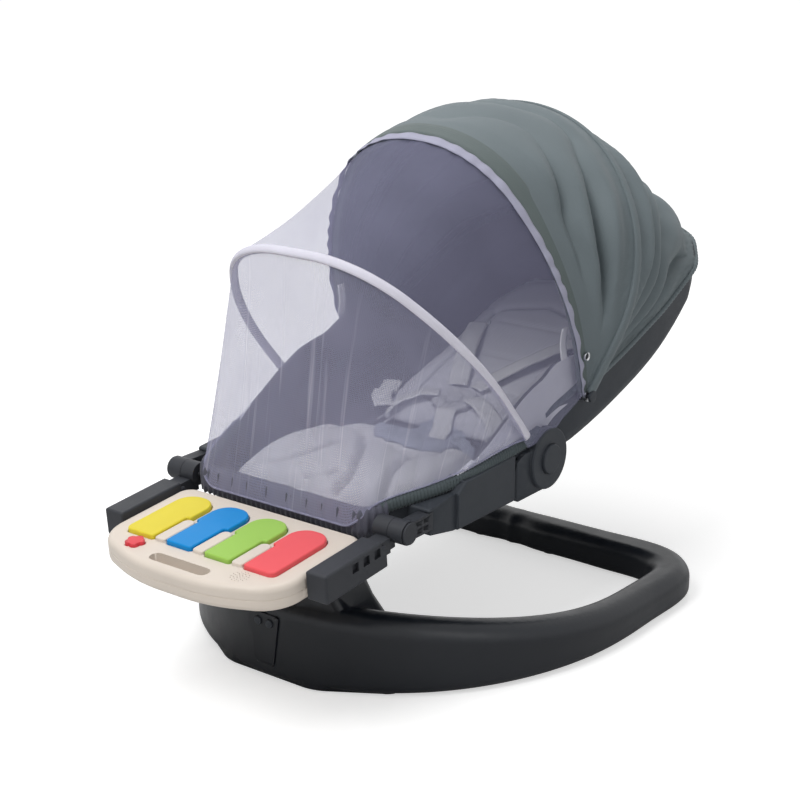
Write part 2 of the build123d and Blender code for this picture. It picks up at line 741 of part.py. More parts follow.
def move_ends(stations, front, rear):
    """The stations with the ends moved along Y, and any that a moved end passes left out."""
    first = (stations[0][0] + front,) + tuple(station_at(stations, stations[0][0] + front))
    last = (stations[-1][0] + rear,) + tuple(station_at(stations, stations[-1][0] + rear))
    kept = [s for s in stations if first[0] + NEAREST < s[0] < last[0] - NEAREST]
    return (first, *kept, last)


def station_at(stations, y):
    """Half width, rim and bottom of a bucket at any Y."""
    for before, after in zip(stations, stations[1:]):
        if before[0] <= y <= after[0]:
            share = (y - before[0]) / (after[0] - before[0])
            return [a + (b - a) * share for a, b in zip(before[1:], after[1:])]
    return list(stations[0 if y < stations[0][0] else -1][1:])


def make_seat(screws):
    outside = bucket(SEAT_EASED, 0, 0)
    inside = bucket(move_ends(SEAT_EASED, WALL, CUT_OVER), WALL, CUT_OVER)
    shell = outside - inside
    for screw in screws:
        centre = screw.center()
        low, high = SEAT_BOTTOM - CUT_OVER, SEAT_BOTTOM + CUT_OVER
        shell -= rod_z(centre.X, centre.Y, low, high, SCREW_RADIUS + PRESS_GAP)
    pin_hole = rod_x(0, HOUSING_FACE_X, RECLINE_Y, RECLINE_Z, RECLINE_PIN_RADIUS + RUN)
    for solid in both(pin_hole):
        shell -= solid
    nodes["seat_shell"] = shell

    skin = bucket(move_ends(SEAT_EASED, -GAP, CUT_OVER), -GAP, CUT_OVER)
    top_front = station_at(SEAT_EASED, SIDE_COVER_FRONT_Y)[1]
    top_joint = station_at(SEAT_EASED, SIDE_COVER_JOINT_Y)[1]
    cover_rear = SIDE_COVER_JOINT_Y - JOINT_GROOVE
    cover = side_prism(
        (
            (SIDE_COVER_FRONT_Y, SIDE_COVER_BOTTOM + 8, 3),
            (SIDE_COVER_FRONT_Y, top_front - 9, 3),
            (SIDE_COVER_STEP_Y, top_front - 5, 4),
            (SIDE_COVER_STEP_Y + 14, top_joint - 12, 6),
            (cover_rear, top_joint - 9, 3),
            (cover_rear, SIDE_COVER_BOTTOM, 3),
            (SIDE_COVER_STEP_Y - 4, SIDE_COVER_BOTTOM, 20),
        ),
        SIDE_COVER_INNER_X,
        SIDE_COVER_FACE_X,
    )
    cover = fillet(edges_at(cover, Axis.X, SIDE_COVER_FACE_X), SIDE_COVER_ROUND)
    recess = side_prism(
        (
            (SIDE_COVER_FRONT_Y - CUT_OVER, 0, 0),
            (SIDE_COVER_STEP_Y, 0, 0),
            (SIDE_COVER_STEP_Y, RECLINE_Z + HOUSING_RADIUS, 0),
            (SIDE_COVER_FRONT_Y - CUT_OVER, RECLINE_Z + HOUSING_RADIUS, 0),
        ),
        SIDE_COVER_FACE_X - SIDE_COVER_STEP,
        SIDE_COVER_FACE_X + CUT_OVER,
    )
    cover = cover - recess - skin
    plug_y0, plug_y1, plug_x0, plug_x1, plug_z0, plug_z1 = plug_box()
    cover -= block(plug_x0 - GAP, plug_x1 + GAP, plug_y0, plug_y1 + GAP, plug_z0 - GAP, plug_z1 + GAP)
    nodes["seat_side_covers"] = both(cover)

    housing = side_prism(
        (
            (SIDE_COVER_JOINT_Y, RECLINE_Z - HOUSING_RADIUS, 3),
            (RECLINE_Y, RECLINE_Z - HOUSING_RADIUS, 0),
            (RECLINE_Y, top_joint - 12, 0),
            (SIDE_COVER_JOINT_Y + 14, top_joint - 12, 6),
            (SIDE_COVER_JOINT_Y, top_joint - 18, 3),
        ),
        SIDE_COVER_INNER_X,
        HOUSING_FACE_X - HOUSING_STEP,
    )
    disc = rod_x(SIDE_COVER_INNER_X, HOUSING_FACE_X, RECLINE_Y, RECLINE_Z, HOUSING_RADIUS)
    disc = fillet(edges_at(disc, Axis.X, HOUSING_FACE_X), SIDE_COVER_ROUND)
    disc -= block(
        0,
        HOUSING_REAR_X,
        SEAT_STATIONS[-1][0],
        RECLINE_Y + HOUSING_RADIUS + CUT_OVER,
        RECLINE_Z - HOUSING_RADIUS - CUT_OVER,
        RECLINE_Z + HOUSING_RADIUS + CUT_OVER,
    )
    housing += disc
    housing -= skin
    pocket_end = HOUSING_FACE_X - HOUSING_FACE_WALL
    housing -= rod_x(0, pocket_end, RECLINE_Y, RECLINE_Z, DETENT_RADIUS + GAP)
    housing -= rod_x(0, HOUSING_FACE_X + CUT_OVER, RECLINE_Y, RECLINE_Z, RECLINE_BUTTON_RADIUS + GAP)
    nodes["hinge_housings"] = both(housing)

    button_face = HOUSING_FACE_X + RECLINE_BUTTON_PROUD
    flange_outer = pocket_end - GAP
    flange_inner = flange_outer - BUTTON_FLANGE
    button = rod_x(flange_inner, button_face, RECLINE_Y, RECLINE_Z, RECLINE_BUTTON_RADIUS)
    button = fillet(edges_at(button, Axis.X, button_face), 1.5)
    button += rod_x(flange_inner, flange_outer, RECLINE_Y, RECLINE_Z, RECLINE_BUTTON_RADIUS + BUTTON_FLANGE)
    right, left = both(button)
    nodes["recline_button_right"] = right
    nodes["recline_button_left"] = left


def make_back():
    outside = bucket(BACK_EASED, 0, 0)
    inside = bucket(move_ends(BACK_EASED, -CUT_OVER, -WALL), WALL, CUT_OVER)
    hub_end = station_at(SEAT_EASED, RECLINE_Y)[0] - BUCKET_LEAN - WALL - 3 * GAP
    hub = rod_x(HUB_START_X, hub_end, RECLINE_Y, RECLINE_Z, HINGE_HUB_RADIUS)
    shell = outside
    for solid in both(hub):
        shell += solid
    shell -= inside
    bore = rod_x(0, HOUSING_FACE_X, RECLINE_Y, RECLINE_Z, RECLINE_PIN_RADIUS + PRESS_GAP)
    bore += rod_x(0, HOUSING_FACE_X, CANOPY_PIVOT_Y, CANOPY_PIVOT_Z, CANOPY_PIN_RADIUS + PRESS_GAP)
    for solid in both(bore):
        shell -= solid
    nodes["back_shell"] = shell

    disc_outer = HOUSING_FACE_X - HOUSING_FACE_WALL - BUTTON_FLANGE - RECLINE_BUTTON_TRAVEL - 2 * GAP
    disc_inner = disc_outer - DETENT_THICKNESS
    pin = rod_x(hub_end - 2 * WALL, disc_inner, RECLINE_Y, RECLINE_Z, RECLINE_PIN_RADIUS)
    nodes["recline_pins"] = both(pin)
    disc = rod_x(disc_inner, disc_outer, RECLINE_Y, RECLINE_Z, DETENT_RADIUS)
    for i in range(DETENT_NOTCHES):
        turn = math.radians(360 / DETENT_NOTCHES * i)
        y = RECLINE_Y + DETENT_RADIUS * math.cos(turn)
        z = RECLINE_Z + DETENT_RADIUS * math.sin(turn)
        disc -= rod_x(disc_inner, disc_outer, y, z, DETENT_THICKNESS * 1.5)
    nodes["detent_discs"] = both(disc)

    half = station_at(BACK_EASED, CANOPY_PIVOT_Y)[0]
    pin = rod_x(half - WALL - GAP, CANOPY_PIN_END, CANOPY_PIVOT_Y, CANOPY_PIVOT_Z, CANOPY_PIN_RADIUS)
    pin += rod_x(
        CANOPY_PIN_END, CANOPY_PIN_END + PLATE_THICKNESS, CANOPY_PIVOT_Y, CANOPY_PIVOT_Z, HOOP_EYE_RADIUS
    )
    nodes["canopy_pivots"] = both(pin)


# Canopy and net

def arch_corners(arch, foot, grow):
    """An arch as corners with radii: legs, shoulders and a rounded crown, grown outwards."""
    foot_half, shoulder_u, shoulder_v, shoulder_round, crown_u, crown_v, crown_round = arch
    lean = (shoulder_u - foot_half) / shoulder_v
    right = (
        (foot_half + lean * foot + grow, foot, 0),
        (shoulder_u + grow, shoulder_v + grow * 0.4, shoulder_round + grow),
        (crown_u + grow * 0.4, crown_v + grow, crown_round + grow),
    )
    return right + tuple((-u, v, radius) for u, v, radius in reversed(right))


def between(one, other, share, sags):
    """An arch part way between two others, drawn in most at the middle."""
    arch = [a + (b - a) * share for a, b in zip(one, other)]
    for place, sag in zip((1, 5), sags):
        arch[place] -= sag * 4 * share * (1 - share)
    return arch


def leaning(y, z, angle):
    """Places a flat outline in the plane through X at (y, z), leaning at an angle above plus Y."""
    cosine, sine = math.cos(math.radians(angle)), math.sin(math.radians(angle))
    return lambda u, v: Vector(u, y + v * cosine, z + v * sine)


def band(arch, foot, grow, thickness, place):
    """The closed outline of an arched strip of cloth."""
    outer = arch_corners(arch, foot, grow)
    inner = arch_corners(arch, foot, grow - thickness)
    return rounded_wire(outer + tuple(reversed(inner)), place)


def arch_wire(arch, foot, place):
    """A round wire bent along an arch."""
    corners = arch_corners(arch, foot, 0)
    path = Wire(rounded_edges(corners, place, closed=False))
    start = place(corners[0][0], corners[0][1])
    along = place(corners[1][0], corners[1][1]) - start
    return sweep(Plane(origin=start, z_dir=along) * Circle(HOOP_RADIUS), path=path)


def hoop(arch, y, z, angle):
    """A wire hoop with an eye at each end, on the two canopy pivots."""
    wire = arch_wire(arch, HOOP_EYE_RADIUS - HOOP_RADIUS, leaning(y, z, angle))
    for side in (1, -1):
        x = side * arch[0]
        wire += rod_x(x - HOOP_RADIUS, x + HOOP_RADIUS, y, z, HOOP_EYE_RADIUS)
        wire -= rod_x(x - CUT_OVER, x + CUT_OVER, y, z, CANOPY_PIN_RADIUS + RUN)
    return wire


def make_canopy():
    y, z = CANOPY_PIVOT_Y, CANOPY_PIVOT_Z
    nodes["canopy_rear_hoop"] = hoop(REAR_ARCH, y, z, REAR_HOOP_ANGLE)
    nodes["canopy_front_hoop"] = hoop(FRONT_ARCH, y, z, FRONT_HOOP_ANGLE)
    grow = HOOP_RADIUS + CANOPY_EASE + CANOPY_THICKNESS

    def panel(one, angle_one, other, angle_other, sags):
        wires = []
        for i in range(CANOPY_STRIPS + 1):
            share = i / CANOPY_STRIPS
            arch = between(one, other, share, sags)
            place = leaning(y, z, angle_one + (angle_other - angle_one) * share)
            wires.append(band(arch, CANOPY_FOOT, grow, CANOPY_THICKNESS, place))
        return Solid.make_loft(wires, ruled=True)

    rear_seam, front_seam = REAR_HOOP_ANGLE - SEAM_ANGLE, REAR_HOOP_ANGLE + SEAM_ANGLE
    nodes["canopy_front_panel"] = panel(FRONT_ARCH, FRONT_HOOP_ANGLE, REAR_ARCH, front_seam, FRONT_SAG)
    nodes["canopy_rear_panel"] = panel(REAR_ARCH, rear_seam, HEAD_ARCH, HEAD_ANGLE, REAR_SAG)
    share = STUD_ANGLE / (FRONT_HOOP_ANGLE - REAR_HOOP_ANGLE - SEAM_ANGLE)
    arch = between(FRONT_ARCH, REAR_ARCH, share, FRONT_SAG)
    skin = arch[0] + (arch[1] - arch[0]) * STUD_PLACE / arch[2] + grow + 4 * GAP
    spot = leaning(y, z, FRONT_HOOP_ANGLE - STUD_ANGLE)(skin, STUD_PLACE)
    stud = rod_x(skin, skin + STUD_HEIGHT, spot.Y, spot.Z, STUD_RADIUS)
    nodes["press_studs"] = both(fillet(edges_at(stud, Axis.X, skin + STUD_HEIGHT), STUD_HEIGHT / 2))


def make_net():
    y, z = BOW_FOOT_Y, BOW_FOOT_Z
    nodes["net_bow"] = arch_wire(BOW_ARCH, 0, leaning(y, z, BOW_ANGLE))
    grow = HOOP_RADIUS + NET_EASE + NET_THICKNESS

    def strip(arch, foot_y, foot_z, angle):
        return band(arch, CANOPY_FOOT, grow, NET_THICKNESS, leaning(foot_y, foot_z, angle))

    nodes["net_hood"] = Solid.make_loft(
        [
            strip(FRONT_ARCH, CANOPY_PIVOT_Y, CANOPY_PIVOT_Z, FRONT_HOOP_ANGLE + SEAM_ANGLE),
            strip(BOW_ARCH, y, z, BOW_ANGLE - SEAM_ANGLE),
        ],
        ruled=True,
    )
    nodes["net_skirt"] = Solid.make_loft(
        [
            strip(BOW_ARCH, y, z, BOW_ANGLE + SEAM_ANGLE),
            strip(SKIRT_MIDDLE_ARCH, y, z, SKIRT_MIDDLE_ANGLE),
            strip(SKIRT_HEM_ARCH, y, z, SKIRT_HEM_ANGLE),
        ],
        ruled=True,
    )


# Pads and harness

def cushion(stations, rise, edge, crown):
    """A crowned pad through stations of Y, half width, floor and fullness."""
    wires = []
    for y, half, floor, full in stations:
        bottom = floor + rise
        corners = (
            (half, bottom, 2),
            (half + 3 * full, bottom + edge * full, 3),
            (half * 0.5, bottom + crown * full, half * 0.3),
            (-half * 0.5, bottom + crown * full, half * 0.3),
            (-half - 3 * full, bottom + edge * full, 3),
            (-half, bottom, 2),
        )
        wires.append(rounded_wire(corners, lambda u, v, w=y: Vector(u, w, v)))
    return Solid.make_loft(wires)


def make_pads():
    lining_out, lining_in = WALL + LINING_GAP, WALL + LINING_GAP + LINING
    outer = bucket(move_ends(SEAT_EASED, lining_out, 0), lining_out, 0)
    inner = bucket(move_ends(SEAT_EASED, lining_in, CUT_OVER), lining_in, CUT_OVER)
    reach = RING_HALF_WIDTH
    keep = block(-reach, reach, SEAT_STATIONS[0][0], RECLINE_Y - LINING_SETBACK, 0, 2 * reach)
    nodes["seat_lining"] = (outer - inner) & keep
    outer = bucket(move_ends(BACK_EASED, 0, -lining_out), lining_out, 0)
    inner = bucket(move_ends(BACK_EASED, -CUT_OVER, -lining_in), lining_in, CUT_OVER)
    keep = block(-reach, reach, RECLINE_Y + LINING_SETBACK / 2, BACK_STATIONS[-1][0], 0, 2 * reach)
    nodes["back_lining"] = (outer - inner) & keep

    rise = lining_in + GAP
    stations = []
    for y, half, full in SEAT_INSERT:
        stations.append((y, half, station_at(SEAT_EASED, y)[2], full))
    pad = cushion(stations, rise, INSERT_EDGE, INSERT_CROWN)
    for y in SEAT_CHANNELS:
        pad -= rod_x(-reach, reach, y, SEAT_BOTTOM + rise + INSERT_CROWN + CHANNEL_LIFT, CHANNEL_RADIUS)
    pad -= rod_z(0, SEAT_INSERT[0][0] - NOTCH_RADIUS / 2, 0, reach, NOTCH_RADIUS)
    nodes["seat_insert"] = pad

    stations = []
    for y, half, full in BACK_INSERT:
        stations.append((y, half, station_at(BACK_EASED, y)[2], full))
    pad = cushion(stations, rise + BACK_RISE, INSERT_EDGE, INSERT_CROWN)
    for y in BACK_CHANNELS:
        z = station_at(BACK_EASED, y)[2] + rise + BACK_RISE + INSERT_CROWN + CHANNEL_LIFT
        pad -= rod_x(-reach, reach, y, z, CHANNEL_RADIUS)
    nodes["back_insert"] = pad


def back_top(y):
    """Height of the back cushion's crown."""
    return station_at(BACK_EASED, y)[2] + WALL + LINING_GAP + LINING + GAP + BACK_RISE + INSERT_CROWN


BACK_SLOPE = math.degrees(
    math.atan2(BACK_STATIONS[4][3] - BACK_STATIONS[1][3], BACK_STATIONS[4][0] - BACK_STATIONS[1][0])
)


def make_harness():
    frame = Pos(0, BUCKLE_Y, back_top(BUCKLE_Y) + BUCKLE_LIFT) * Rot(BACK_SLOPE, 0, 0)
    reach = BUCKLE_RADIUS
    outline = (
        (reach, -reach * 0.45, 8),
        (reach * 0.8, reach * 0.8, 9),
        (-reach * 0.8, reach * 0.8, 9),
        (-reach, -reach * 0.45, 8),
        (0, -reach * 1.1, 10),
    )
    buckle = prism(outline, 0, BUCKLE_HEIGHT)
    buckle = fillet(edges_at(buckle, Axis.Z, BUCKLE_HEIGHT), 2.5)
    floor = BUCKLE_HEIGHT / 2 - BUCKLE_BUTTON_TRAVEL / 2
    buckle -= rod_z(0, 0, floor - BUCKLE_BUTTON_TRAVEL, BUCKLE_HEIGHT, BUCKLE_BUTTON_RADIUS + GAP)
    nodes["harness_buckle"] = frame * buckle
    button = rod_z(0, 0, floor, BUCKLE_HEIGHT + 1, BUCKLE_BUTTON_RADIUS)
    nodes["buckle_button"] = frame * fillet(edges_at(button, Axis.Z, BUCKLE_HEIGHT + 1), 1.2)

    half = WEBBING_WIDTH / 2
    thick = WEBBING_THICKNESS
    straps = []
    shoulder = block(SHOULDER_X - half, SHOULDER_X + half, reach * 0.8 + GAP, SHOULDER_END, 0, thick)
    straps += both(frame * shoulder)
    waist = block(reach - WAIST_TUCK, WAIST_END_X, -half, half, 0, thick)
    straps += both(frame * Rot(0, -WAIST_RISE, 0) * waist)
    tip = -reach * 1.1
    crotch = block(-half, half, tip - CROTCH_LENGTH, tip + CROTCH_TUCK, 0, thick)
    straps += list((frame * crotch).solids())
    nodes["harness_straps"] = straps


# Tray arms

def plug_box():
    """Y, X and Z limits of the plug behind the tray's fixed barrel."""
    x0, x1 = BARREL_SPLIT_X + GAP + WALL, BARREL_OUTER_X - 1
    y1 = TRAY_HINGE_Y + PLUG_LENGTH
    return TRAY_HINGE_Y, y1, x0, x1, TRAY_HINGE_Z - PLUG_HEIGHT / 2, TRAY_HINGE_Z + PLUG_HEIGHT / 2


def make_arms():
    y, z = TRAY_HINGE_Y, TRAY_HINGE_Z
    y0, y1, x0, x1, z0, z1 = plug_box()
    plug = rod_x(BARREL_SPLIT_X + GAP, BARREL_OUTER_X, y, z, BARREL_RADIUS)
    plug += block(x0, x1, y0, y1, z0, z1)
    rib = WALL / 2
    for low, high in ((z0 + rib * 2, z - rib), (z + rib, z1 - rib * 2)):
        start = y + BARREL_RADIUS + rib
        middle = (start + SIDE_COVER_FRONT_Y) / 2
        plug -= block(x1 - 2 * WALL, x1 + CUT_OVER, start, middle - rib, low, high)
        plug -= block(x1 - 2 * WALL, x1 + CUT_OVER, middle + rib, SIDE_COVER_FRONT_Y - rib, low, high)
    plug -= rod_x(BARREL_SPLIT_X - CUT_OVER, BARREL_OUTER_X + CUT_OVER, y, z, TRAY_PIN_RADIUS + PRESS_GAP)
    nodes["tray_plugs"] = both(plug)

    pin = rod_x(BARREL_INNER_X, BARREL_OUTER_X, y, z, TRAY_PIN_RADIUS)
    cap_end = BARREL_OUTER_X + PIN_CAP
    cap = rod_x(BARREL_OUTER_X, cap_end, y, z, BARREL_RADIUS - 1)
    pin += fillet(edges_at(cap, Axis.X, cap_end), PIN_CAP / 3)
    nodes["tray_hinge_pins"] = both(pin)

    tray = Pos(0, y, z) * Rot(TRAY_TILT, 0, 0)
    bar_x0 = SLEEVE_INNER_X + SLEEVE_WALL + GAP
    bar_x1 = SLEEVE_INNER_X + SLEEVE_WIDTH - SLEEVE_WALL - GAP
    bar_top = SLEEVE_TOP - SLEEVE_WALL - GAP
    bar_end = SLEEVE_REAR - SLEEVE_LENGTH + SLEEVE_FRONT_BLOCK + GAP
    bar = block(bar_x0, min(bar_x1, BARREL_SPLIT_X), -BARREL_RADIUS * 2, 0, bar_top - BAR_HEIGHT, bar_top)
    bar += block(bar_x0, bar_x1, bar_end, -BARREL_RADIUS - GAP, bar_top - BAR_HEIGHT, bar_top)
    bar += rod_x(BARREL_INNER_X, BARREL_SPLIT_X, 0, 0, BARREL_RADIUS)
    bar -= rod_x(BARREL_INNER_X - CUT_OVER, BARREL_SPLIT_X + CUT_OVER, 0, 0, TRAY_PIN_RADIUS + RUN)
    nodes["tray_bars"] = both(tray * bar)

    x0, x1 = SLEEVE_INNER_X, SLEEVE_INNER_X + SLEEVE_WIDTH
    front, rear = SLEEVE_REAR - SLEEVE_LENGTH, SLEEVE_REAR
    bottom = SLEEVE_TOP - SLEEVE_HEIGHT
    sleeve = block(x0, x1, front, rear, bottom, SLEEVE_TOP)
    sleeve -= block(
        x0 - CUT_OVER,
        x1 + CUT_OVER,
        rear - SLEEVE_STEP,
        rear + CUT_OVER,
        SLEEVE_TOP - SLEEVE_STEP,
        CUT_OVER,
    )
    sleeve = fillet(sleeve.edges().filter_by(Axis.Y) + edges_at(sleeve, Axis.Y, front), SLEEVE_ROUND)
    sleeve -= block(
        bar_x0 - GAP,
        bar_x1 + GAP,
        front + SLEEVE_FRONT_BLOCK,
        rear + CUT_OVER,
        bar_top - BAR_HEIGHT - GAP,
        bar_top + GAP,
    )
    for i in range(WINDOW_COUNT):
        middle = WINDOW_FIRST - WINDOW_PITCH * i
        window_top = bar_top - 1
        sleeve -= block(
            x1 - SLEEVE_WALL - GAP,
            x1 + CUT_OVER,
            middle - WINDOW_SIZE / 2,
            middle + WINDOW_SIZE / 2,
            window_top - WINDOW_SIZE,
            window_top,
        )
    tab_y, tab_z, tab_x = tab_place()
    sleeve -= block(
        x0 - CUT_OVER,
        tab_x + GAP,
        tab_y - TAB_LENGTH / 2 - GAP,
        tab_y + TAB_LENGTH / 2 + GAP,
        tab_z - TAB_HEIGHT / 2 - GAP,
        tab_z + TAB_HEIGHT / 2 + GAP,
    )
    right, left = both(tray * sleeve)
    nodes["tray_sleeve_right"] = right
    nodes["tray_sleeve_left"] = left


def tab_place():
    """Middle Y and Z of the tray's side tab and its tip's X, in the front block of a sleeve."""
    y = SLEEVE_REAR - SLEEVE_LENGTH + SLEEVE_FRONT_BLOCK / 2
    z = TRAY_TOP - TRAY_UPPER_HEIGHT - TAB_HEIGHT / 2 - SEAM_ROUND
    return y, z, SLEEVE_INNER_X + SLEEVE_WIDTH / 3


# Piano tray, level in its own frame, with its hinge at the origin

TRAY_SEAM = TRAY_TOP - TRAY_UPPER_HEIGHT
TRAY_BOTTOM = TRAY_SEAM - TRAY_LOWER_HEIGHT
KEY_COLOURS = ("yellow", "blue", "green", "red")


def tray_outline(inset):
    half, rear, nose = TRAY_HALF_WIDTH - inset, TRAY_REAR - inset, TRAY_NOSE + inset
    corner = TRAY_FRONT_CORNER + inset * 0.6
    return (
        (half, rear, TRAY_REAR_ROUND - inset),
        (half, corner, TRAY_FRONT_ROUND - inset),
        (TRAY_NOSE_HALF, nose, TRAY_NOSE_ROUND - inset),
        (-TRAY_NOSE_HALF, nose, TRAY_NOSE_ROUND - inset),
        (-half, corner, TRAY_FRONT_ROUND - inset),
        (-half, rear, TRAY_REAR_ROUND - inset),
    )


def key_outline(index, grow):
    """A key's outline: a round rear end, and a notch beside each neighbouring accent."""
    middle = (index - 1.5) * KEY_PITCH
    notch = ACCENT_WIDTH / 2 + 2 * KEY_CLEARANCE - (KEY_PITCH - KEY_WIDTH) / 2
    half, rear, front = KEY_WIDTH / 2 + grow, KEY_REAR + grow, KEY_FRONT - grow
    step = ACCENT_REAR + KEY_CLEARANCE * 2 - grow
    points = [(middle + half, rear, KEY_ROUND)]
    if index < len(KEY_COLOURS) - 1:
        points += [(middle + half, step, KEY_STEP_ROUND), (middle + half - notch, step, KEY_STEP_ROUND)]
        points += [(middle + half - notch, front, KEY_FRONT_ROUND)]
    else:
        points += [(middle + half, front, 2 * KEY_FRONT_ROUND)]
    if index > 0:
        points += [(middle - half + notch, front, KEY_FRONT_ROUND)]
        points += [(middle - half + notch, step, KEY_STEP_ROUND), (middle - half, step, KEY_STEP_ROUND)]
    else:
        points += [(middle - half, front, 2 * KEY_FRONT_ROUND)]
    points += [(middle - half, rear, KEY_ROUND)]
    return tuple(points)


def flower(grow, z0, z1):
    """A plain five-lobed button shape."""
    x, y = FLOWER_PLACE
    shape = rod_z(x, y, z0, z1, FLOWER_LOBE_PLACE + grow)
    for i in range(FLOWER_LOBES):
        turn = math.radians(90 + 360 / FLOWER_LOBES * i)
        lobe_x = x + FLOWER_LOBE_PLACE * math.cos(turn)
        lobe_y = y + FLOWER_LOBE_PLACE * math.sin(turn)
        shape += rod_z(lobe_x, lobe_y, z0, z1, FLOWER_LOBE_RADIUS + grow)
    return shape


def oblong(radius, z0, z1):
    """The handle slot's rounded prism."""
    half = SLOT_HALF_LENGTH + radius - SLOT_RADIUS
    corners = (
        (half, SLOT_Y - radius, radius * 0.98),
        (half, SLOT_Y + radius, radius * 0.98),
        (-half, SLOT_Y + radius, radius * 0.98),
        (-half, SLOT_Y - radius, radius * 0.98),
    )
    return prism(corners, z0, z1)


def make_tray():
    tray = Pos(0, TRAY_HINGE_Y, TRAY_HINGE_Z) * Rot(TRAY_TILT, 0, 0)
    ceiling = TRAY_TOP - TRAY_WALL
    floor = TRAY_BOTTOM + TRAY_WALL

    upper = prism(tray_outline(0), TRAY_SEAM, TRAY_TOP)
    upper = fillet(edges_at(upper, Axis.Z, TRAY_TOP), TRAY_EDGE_ROUND)
    upper = fillet(edges_at(upper, Axis.Z, TRAY_SEAM), SEAM_ROUND)
    hollow_top = prism(tray_outline(TRAY_WALL + 2), TRAY_SEAM, ceiling)
    upper -= hollow_top
    collar = oblong(SLOT_RADIUS + SLOT_WALL, TRAY_SEAM, ceiling + SLOT_WALL / 2)
    upper += collar & prism(tray_outline(1), TRAY_SEAM, TRAY_TOP)
    for index in range(len(KEY_COLOURS) - 1):
        middle = (index - 1) * KEY_PITCH
        half = ACCENT_WIDTH / 2
        outline = (
            (middle + half, ACCENT_REAR, half * 0.96),
            (middle + half, KEY_FRONT, KEY_FRONT_ROUND),
            (middle - half, KEY_FRONT, KEY_FRONT_ROUND),
            (middle - half, ACCENT_REAR, half * 0.96),
        )
        accent = prism(outline, ceiling, TRAY_TOP + ACCENT_PROUD)
        upper += fillet(edges_at(accent, Axis.Z, TRAY_TOP + ACCENT_PROUD), KEY_TOP_ROUND)
    for index in range(len(KEY_COLOURS)):
        upper -= prism(key_outline(index, KEY_CLEARANCE), ceiling - CUT_OVER, TRAY_TOP + 1)
    upper -= flower(KEY_CLEARANCE, ceiling - CUT_OVER, TRAY_TOP + 1)
    upper -= oblong(SLOT_RADIUS, TRAY_SEAM, TRAY_TOP)
    hole_x, hole_y = TRAY_SPEAKER_PLACE
    for ring, count in enumerate(SPEAKER_HOLES):
        for i in range(count):
            turn = math.radians(360 / count * i + 15 * ring)
            x = hole_x + ring * SPEAKER_HOLE_PITCH * math.cos(turn)
            y = hole_y + ring * SPEAKER_HOLE_PITCH * math.sin(turn)
            upper -= rod_z(x, y, ceiling, TRAY_TOP, SPEAKER_HOLE_RADIUS)

    lower = prism(tray_outline(0), TRAY_BOTTOM, TRAY_SEAM)
    lower = fillet(edges_at(lower, Axis.Z, TRAY_BOTTOM), TRAY_EDGE_ROUND)
    lower = fillet(edges_at(lower, Axis.Z, TRAY_SEAM), SEAM_ROUND)
    lower -= prism(tray_outline(TRAY_WALL + 2), floor, TRAY_SEAM)
    collar = oblong(SLOT_RADIUS + SLOT_WALL, floor - SLOT_WALL / 2, TRAY_SEAM)
    lower += collar & prism(tray_outline(1), TRAY_BOTTOM, TRAY_SEAM)
    lower -= oblong(SLOT_RADIUS, TRAY_BOTTOM, TRAY_SEAM)
    tab_y, tab_z, tab_x = tab_place()
    tab = block(
        TRAY_HALF_WIDTH - 1,
        tab_x,
        tab_y - TAB_LENGTH / 2,
        tab_y + TAB_LENGTH / 2,
        tab_z - TAB_HEIGHT / 2,
        tab_z + TAB_HEIGHT / 2,
    )
    for solid in both(tab):
        lower += solid

    screws = []
    for x, y in TRAY_SCREW_PLACES:
        head_top = TRAY_BOTTOM + SCREW_HEAD_HEIGHT
        tip = ceiling - TRAY_WALL
        post = rod_z(x, y, TRAY_SEAM, ceiling, BOSS_RADIUS) - rod_z(x, y, TRAY_SEAM, tip + 1, SCREW_RADIUS)
        seat = rod_z(x, y, floor, TRAY_SEAM, BOSS_RADIUS)
        hole = rod_z(x, y, TRAY_BOTTOM, TRAY_SEAM, SCREW_RADIUS + GAP)
        hole += rod_z(x, y, TRAY_BOTTOM, head_top, SCREW_HEAD_RADIUS + GAP)
        screw = rod_z(x, y, TRAY_BOTTOM, tip, SCREW_RADIUS - PRESS_GAP)
        screw += rod_z(x, y, TRAY_BOTTOM, head_top, SCREW_HEAD_RADIUS)
        screws += both(screw)
        for solid in both(post):
            upper += solid
        for solid in both(seat):
            lower += solid
        for solid in both(hole):
            lower -= solid

    board_top = TRAY_SEAM - BOARD_DROP
    board_bottom = board_top - BOARD_THICKNESS
    half_x = 2 * KEY_PITCH - BOARD_MARGIN
    rear, front = KEY_REAR - BOARD_MARGIN, KEY_FRONT + BOARD_MARGIN
    for x, y in ((half_x - BOSS_RADIUS, rear - BOSS_RADIUS), (half_x - BOSS_RADIUS, front + BOSS_RADIUS)):
        for solid in both(rod_z(x, y, floor, board_bottom, BOSS_RADIUS)):
            lower += solid
    board = block(-half_x, half_x, front, rear, board_bottom, board_top)
    mat = block(-half_x, half_x, front, rear, board_top, board_top + MAT_THICKNESS)
    for index in range(len(KEY_COLOURS)):
        x = (index - 1.5) * KEY_PITCH
        dome_z = board_top + MAT_THICKNESS
        mat += rod_z(x, (KEY_REAR + 2 * KEY_FRONT) / 3, dome_z, dome_z + DOME_HEIGHT, DOME_RADIUS)
    speaker = rod_z(hole_x, hole_y, ceiling - TRAY_SPEAKER_HEIGHT, ceiling, TRAY_SPEAKER_RADIUS)

    nodes["tray_upper_shell"] = tray * upper
    nodes["tray_lower_shell"] = tray * lower
    nodes["tray_screws"] = [tray * screw for screw in screws]
    nodes["tray_board"] = tray * board
    nodes["key_contact_mat"] = tray * mat
    nodes["tray_speaker"] = tray * speaker

